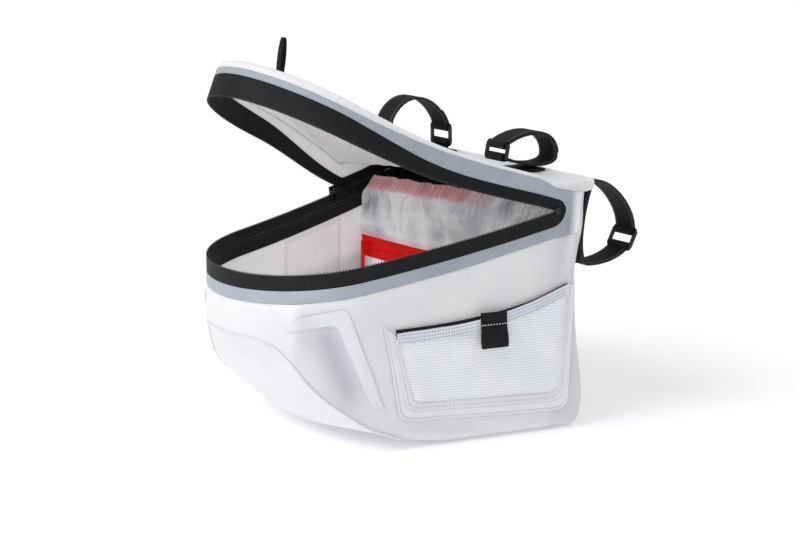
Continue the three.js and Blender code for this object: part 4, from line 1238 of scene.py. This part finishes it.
def upper_surface():
    """Slack cloth that is gathered under an elastic casing, with a share of pink for each point, lightened
    along the ruffle crests as a painted highlight.
    """
    u, v = grid("upper")
    corner = np.clip((u - ORGANISER_CORNER_FROM) / (1 - ORGANISER_CORNER_FROM), 0, ORGANISER_CORNER_LIMIT)
    top = mix(*ORGANISER_TOP, u) - ORGANISER_CORNER * (1 - np.sqrt(1 - corner * corner))
    z = mix(ORGANISER_ZIP[1] + SEAM_GAP, top, v)
    run = points(u * GATHER_DRIFT["run"], 0, GATHER_DRIFT["level"])
    drift = soft_noise(run, "drift")
    wave = np.sin(2 * math.pi * (GATHER_COUNT * u + drift))
    gathers = GATHER_DEPTH * smooth(v, GATHER_FROM, CASING) * wave
    ruffle = np.sin(2 * math.pi * (RUFFLE_COUNT * u + RUFFLE_DRIFT * drift))
    fine = RUFFLE_DEPTH * smooth(v, RUFFLE_FROM, CASING) * ruffle
    places = points(u * ORGANISER_RUN, 0, z)
    slack = soft_noise(places, "puff") + soft_noise(places * PUFF_SQUASH, "small_puff") + PUFF_LEVEL
    puffs = slack * smooth(v, *PUFF_LOW) * smooth(CASING - v, *PUFF_TOP)
    pinch = -PINCH["depth"] * peak(v - CASING, PINCH["half_width"])
    lean = -CASING_LEAN * smooth(v, CASING, 1)
    ends = both_ends(u, *UPPER_ENDS)
    # Painted highlight: the casing's pink is lighter on the ruffle crests.
    crest_highlight = CREST_HIGHLIGHT["level"] - CREST_HIGHLIGHT["depth"] * np.maximum(ruffle, 0) ** CREST_HIGHLIGHT["power"]
    casing = smooth(v, *CASING_EDGE) * smooth(u, *CASING_NEAR) * smooth(1 - u, *CASING_FAR)
    pink = np.maximum(CASING_PINK * casing * crest_highlight, ZIP_PINK * smooth(1 - v, *ZIP_PINK_FADE))
    return organiser_point(u, z, (gathers + fine + puffs + pinch) * ends + lean), pink


def lower_surface(sheet, low, high):
    u, v = grid(sheet)
    z = mix(low, high, v)
    sag = soft_noise(points(u * ORGANISER_RUN, 0, z), "lower")
    return organiser_point(u, z, sag * both_ends(v, *ORGANISER_SAG_FADE))


upper, pink = upper_surface()
cloth("organiser_upper_cloth", upper, THIN_SHEET, THIN, ["organiser_upper"],
      BEHIND, tint_and_painted_light=pink)
zip_sheet = lower_surface("organiser_zip", *ORGANISER_ZIP)
cloth("organiser_zip_cloth", zip_sheet, TRIM, RED, ["organiser_zip"],
      BEHIND)
lower = lower_surface("organiser_lower", WALL + GAP, ORGANISER_ZIP[0] - SEAM_GAP)
cloth("organiser_lower_cloth", lower, TRIM, THIN, ["organiser_lower"], BEHIND)

coil_share = np.linspace(*COIL["ends"], COIL["points"])
coil_path = organiser_point(coil_share, mix(*ORGANISER_ZIP, 0.5), COIL["push"])
beads("organiser_coil", "coil", coil_path, np.tile([0.0, -1.0, 0.0], (len(coil_path), 1)), RED)


def tape_row():
    """Line along the inside of the body's tape, for its stitches."""
    where = np.linspace(TAPE_STITCHES["end"], -TAPE_STITCHES["end"], TAPE_STITCHES["points"])
    x, y = plan(where, TRIM + TAPE_STITCHES["proud"], ZIP_END_Y)
    return on_body(x, y, TAPE_STITCHES["height"]), points(-x, TAPE_STITCHES["centre_y"] - y, 0)


beads("tape_stitches", "tape", *tape_row(), TAPE_THREAD)


# Straps and hardware
def loop_point(strap, angle, inset):
    sine = np.sin(angle)
    lean = 1 + strap["taper"] * np.cos(angle)
    height = (strap["half_height"] - inset) * lean * np.where(sine < 0, strap["flat"], 1)
    return np.stack([(strap["half_length"] - inset) * np.cos(angle), height * sine], -1)


def strap_place(strap, flat, across):
    """Carries points of a loop's own plane, at places across its width, to the bag."""
    turn = math.radians(strap["tilt"])
    y = flat[..., 0] * math.cos(turn) - flat[..., 1] * math.sin(turn)
    z = flat[..., 0] * math.sin(turn) + flat[..., 1] * math.cos(turn)
    at = strap["at"]
    return points(at[0] + across, at[1] + y, at[2] + z)


def link_angles(strap):
    """Angles of the two ends of the link."""
    middle = math.radians(strap["link"])
    ends = loop_point(strap, np.array([middle - ANGLE_STEP, middle + ANGLE_STEP]), STRAP_THICKNESS / 2)
    reach = LINK_LENGTH / (np.linalg.norm(ends[1] - ends[0]) / ANGLE_STEP)
    return middle + reach, middle - reach


def band_between(name, strap, sheet, angles, outer, thickness, nodes=()):
    u, v = grid(sheet)
    across = v - 0.5
    surface = strap_place(strap, loop_point(strap, mix(*angles, u), outer), STRAP_WIDTH * across)
    # Painted highlight along both edges of the strap.
    edges = peak(np.abs(across) - EDGE_HIGHLIGHT["at"], EDGE_HIGHLIGHT["half_width"])
    return cloth(name, surface, thickness, WEBBING, nodes, strap["at"],
                 tint_and_painted_light=edges)


def eye(name, strap, angle):
    """Webbing eye round one bar of a strap's link."""
    u, v = grid("eye")
    centre = loop_point(strap, np.array(angle), STRAP_THICKNESS / 2)
    turn = 2 * math.pi * u
    flat = centre + EYE_OUTER_RADIUS * np.stack([np.cos(turn), np.sin(turn)], -1)
    surface = strap_place(strap, flat, STRAP_WIDTH * (v - 0.5))
    return cloth(name, surface, EYE_THICKNESS, WEBBING, away_from=strap_place(strap, centre, 0.0))


for name, strap in STRAPS.items():
    after, before = link_angles(strap)
    trim = [eye(f"{name}_eye_{end}", strap, angle) for end, angle in (("first", after), ("last", before))]
    if strap["end"]:
        trim.append(band_between(f"{name}_end", strap, "strap_end", np.radians(strap["end"]),
                                 -STRAP_END_PROUD, STRAP_END_THICKNESS))
    lead = (EYE_RADIUS + EYE_LEAD) * (after - before) / LINK_LENGTH
    angles = (after + lead, before - lead + 2 * math.pi)
    band_between(f"{name}_webbing", strap, "strap", angles, 0, STRAP_THICKNESS, [name])

for name, (across, start) in PADS.items():
    u, v = grid("pad")
    x = across + mix(-PAD_HALF_WIDTH, PAD_HALF_WIDTH, v)
    y = mix(start, PAD_END, u)
    pad = lid_point(x, y, lid_top(x, y) + GAP + PAD_THICKNESS)
    below = (across, *PAD_BELOW)
    cloth(f"{name}_webbing", pad, PAD_THICKNESS, WEBBING, [name], below)


def lid_loop():
    half_height = LOOP["height"] / 2
    foot = lid_point(np.array(0.0), np.array(LOOP["y"]), lid_top(0.0, LOOP["y"]))
    shape = {
        "at": tuple(foot + np.array([0, 0, half_height + LOOP["seat"]])), "tilt": LOOP["tilt"],
        "half_length": LOOP["length"] / 2, "half_height": half_height, "taper": 0, "flat": 1,
    }
    u, v = grid("loop")
    surface = strap_place(shape, loop_point(shape, 2 * math.pi * u, 0), LOOP["width"] * (v - 0.5))
    cloth("lid_loop_webbing", surface, LOOP["tape"], WEBBING, ["lid_loop"], away_from=shape["at"])


lid_loop()


# Rigid pieces keep their solids, with a finish and edges rounded over a width
RIGID = {
    "zip_stop_right": (MOULDED, 0.5), "zip_stop_left": (MOULDED, 0.5),
    "zip_slider": (METAL, 0.5), "zip_pull": (METAL, 0.6),
    "organiser_slider": (RED, 0.9), "organiser_pull": (RED, 0.6),
    "bar_buckle_right": (MOULDED, 0.8), "bar_buckle_left": (MOULDED, 0.8), "head_buckle": (MOULDED, 0.8),
}
BEVEL_SEGMENTS = 3
BEVEL_ANGLE = math.radians(35)
for name, (look, width) in RIGID.items():
    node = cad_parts[name]
    node.data.materials.clear()
    node.data.materials.append(look[0])
    bevel = node.modifiers.new("rounding", "BEVEL")
    bevel.width = width / MM_PER_METRE
    bevel.segments = BEVEL_SEGMENTS
    bevel.limit_method = "ANGLE"
    bevel.angle_limit = BEVEL_ANGLE


# Floor, light and camera, in metres, with angles in degrees
FLOOR_REACH = 6.0
FLOOR_DROP = 0.0015
WORLD_LIGHT = 0.32
SUNS = [
    ("key", (0.0, -0.88, 0.8), 1.18, 30),
    ("fill", (-0.5, -0.9, 0.28), 0.6, 60),
    ("front", (0.6, -0.75, 0.33), 0.42, 50),
    ("back", (-0.3, 0.9, 0.5), 0.4, 60),
    ("top", (0.1, 0.1, 1.0), 0.78, 100),
]
MOUTH_LIGHT = {
    "from": (0.2, -0.26, 0.26), "to": (-0.07, -0.05, 0.115),
    "power": 1.9, "cone": 30, "blend": 0.6, "size": 0.05,
}
CAMERA = {"place": (1.2086, -0.8681, 0.4233), "turn": (78, 0, 55), "lens": 90, "sensor": 36}


def aim(back):
    """Turn of a light that shines against a direction."""
    return Vector(back).to_track_quat("Z", "Y").to_euler()


def add_floor():
    mesh = bpy.data.meshes.new("floor")
    corners = [(-1, -1), (1, -1), (1, 1), (-1, 1)]
    mesh.from_pydata([(FLOOR_REACH * x, FLOOR_REACH * y, 0) for x, y in corners], [], [(0, 1, 2, 3)])
    mesh.materials.append(floor_look())
    add_object("floor", mesh, (0, 0, -FLOOR_DROP))


def add_world():
    """White surroundings that look brighter than the light they give."""
    world = bpy.data.worlds.new("studio")
    world.use_nodes = True
    nodes, links = world.node_tree.nodes, world.node_tree.links
    sight = nodes.new("ShaderNodeLightPath").outputs["Is Camera Ray"]
    strength = nodes.new("ShaderNodeMapRange")
    strength.inputs["To Min"].default_value = WORLD_LIGHT
    strength.inputs["To Max"].default_value = 1.0
    links.new(sight, strength.inputs["Value"])
    links.new(strength.outputs["Result"], nodes["Background"].inputs["Strength"])
    nodes["Background"].inputs["Color"].default_value = WHITE
    bpy.context.scene.world = world


def add_lights():
    for name, toward, power, spread in SUNS:
        sun = bpy.data.lights.new(name, "SUN")
        sun.energy = power
        sun.angle = math.radians(spread)
        add_object(name, sun, turn=aim(toward))
    spot = bpy.data.lights.new("mouth", "SPOT")
    spot.energy = MOUTH_LIGHT["power"]
    spot.spot_size = math.radians(MOUTH_LIGHT["cone"])
    spot.spot_blend = MOUTH_LIGHT["blend"]
    spot.shadow_soft_size = MOUTH_LIGHT["size"]
    back = Vector(MOUTH_LIGHT["from"]) - Vector(MOUTH_LIGHT["to"])
    add_object("mouth", spot, MOUTH_LIGHT["from"], aim(back))


def add_camera():
    camera = bpy.data.cameras.new("camera")
    camera.lens = CAMERA["lens"]
    camera.sensor_width = CAMERA["sensor"]
    turn = [math.radians(angle) for angle in CAMERA["turn"]]
    bpy.context.scene.camera = add_object("camera", camera, CAMERA["place"], turn)
    bpy.context.scene.view_settings.view_transform = "Standard"


add_floor()
add_world()
add_lights()
add_camera()
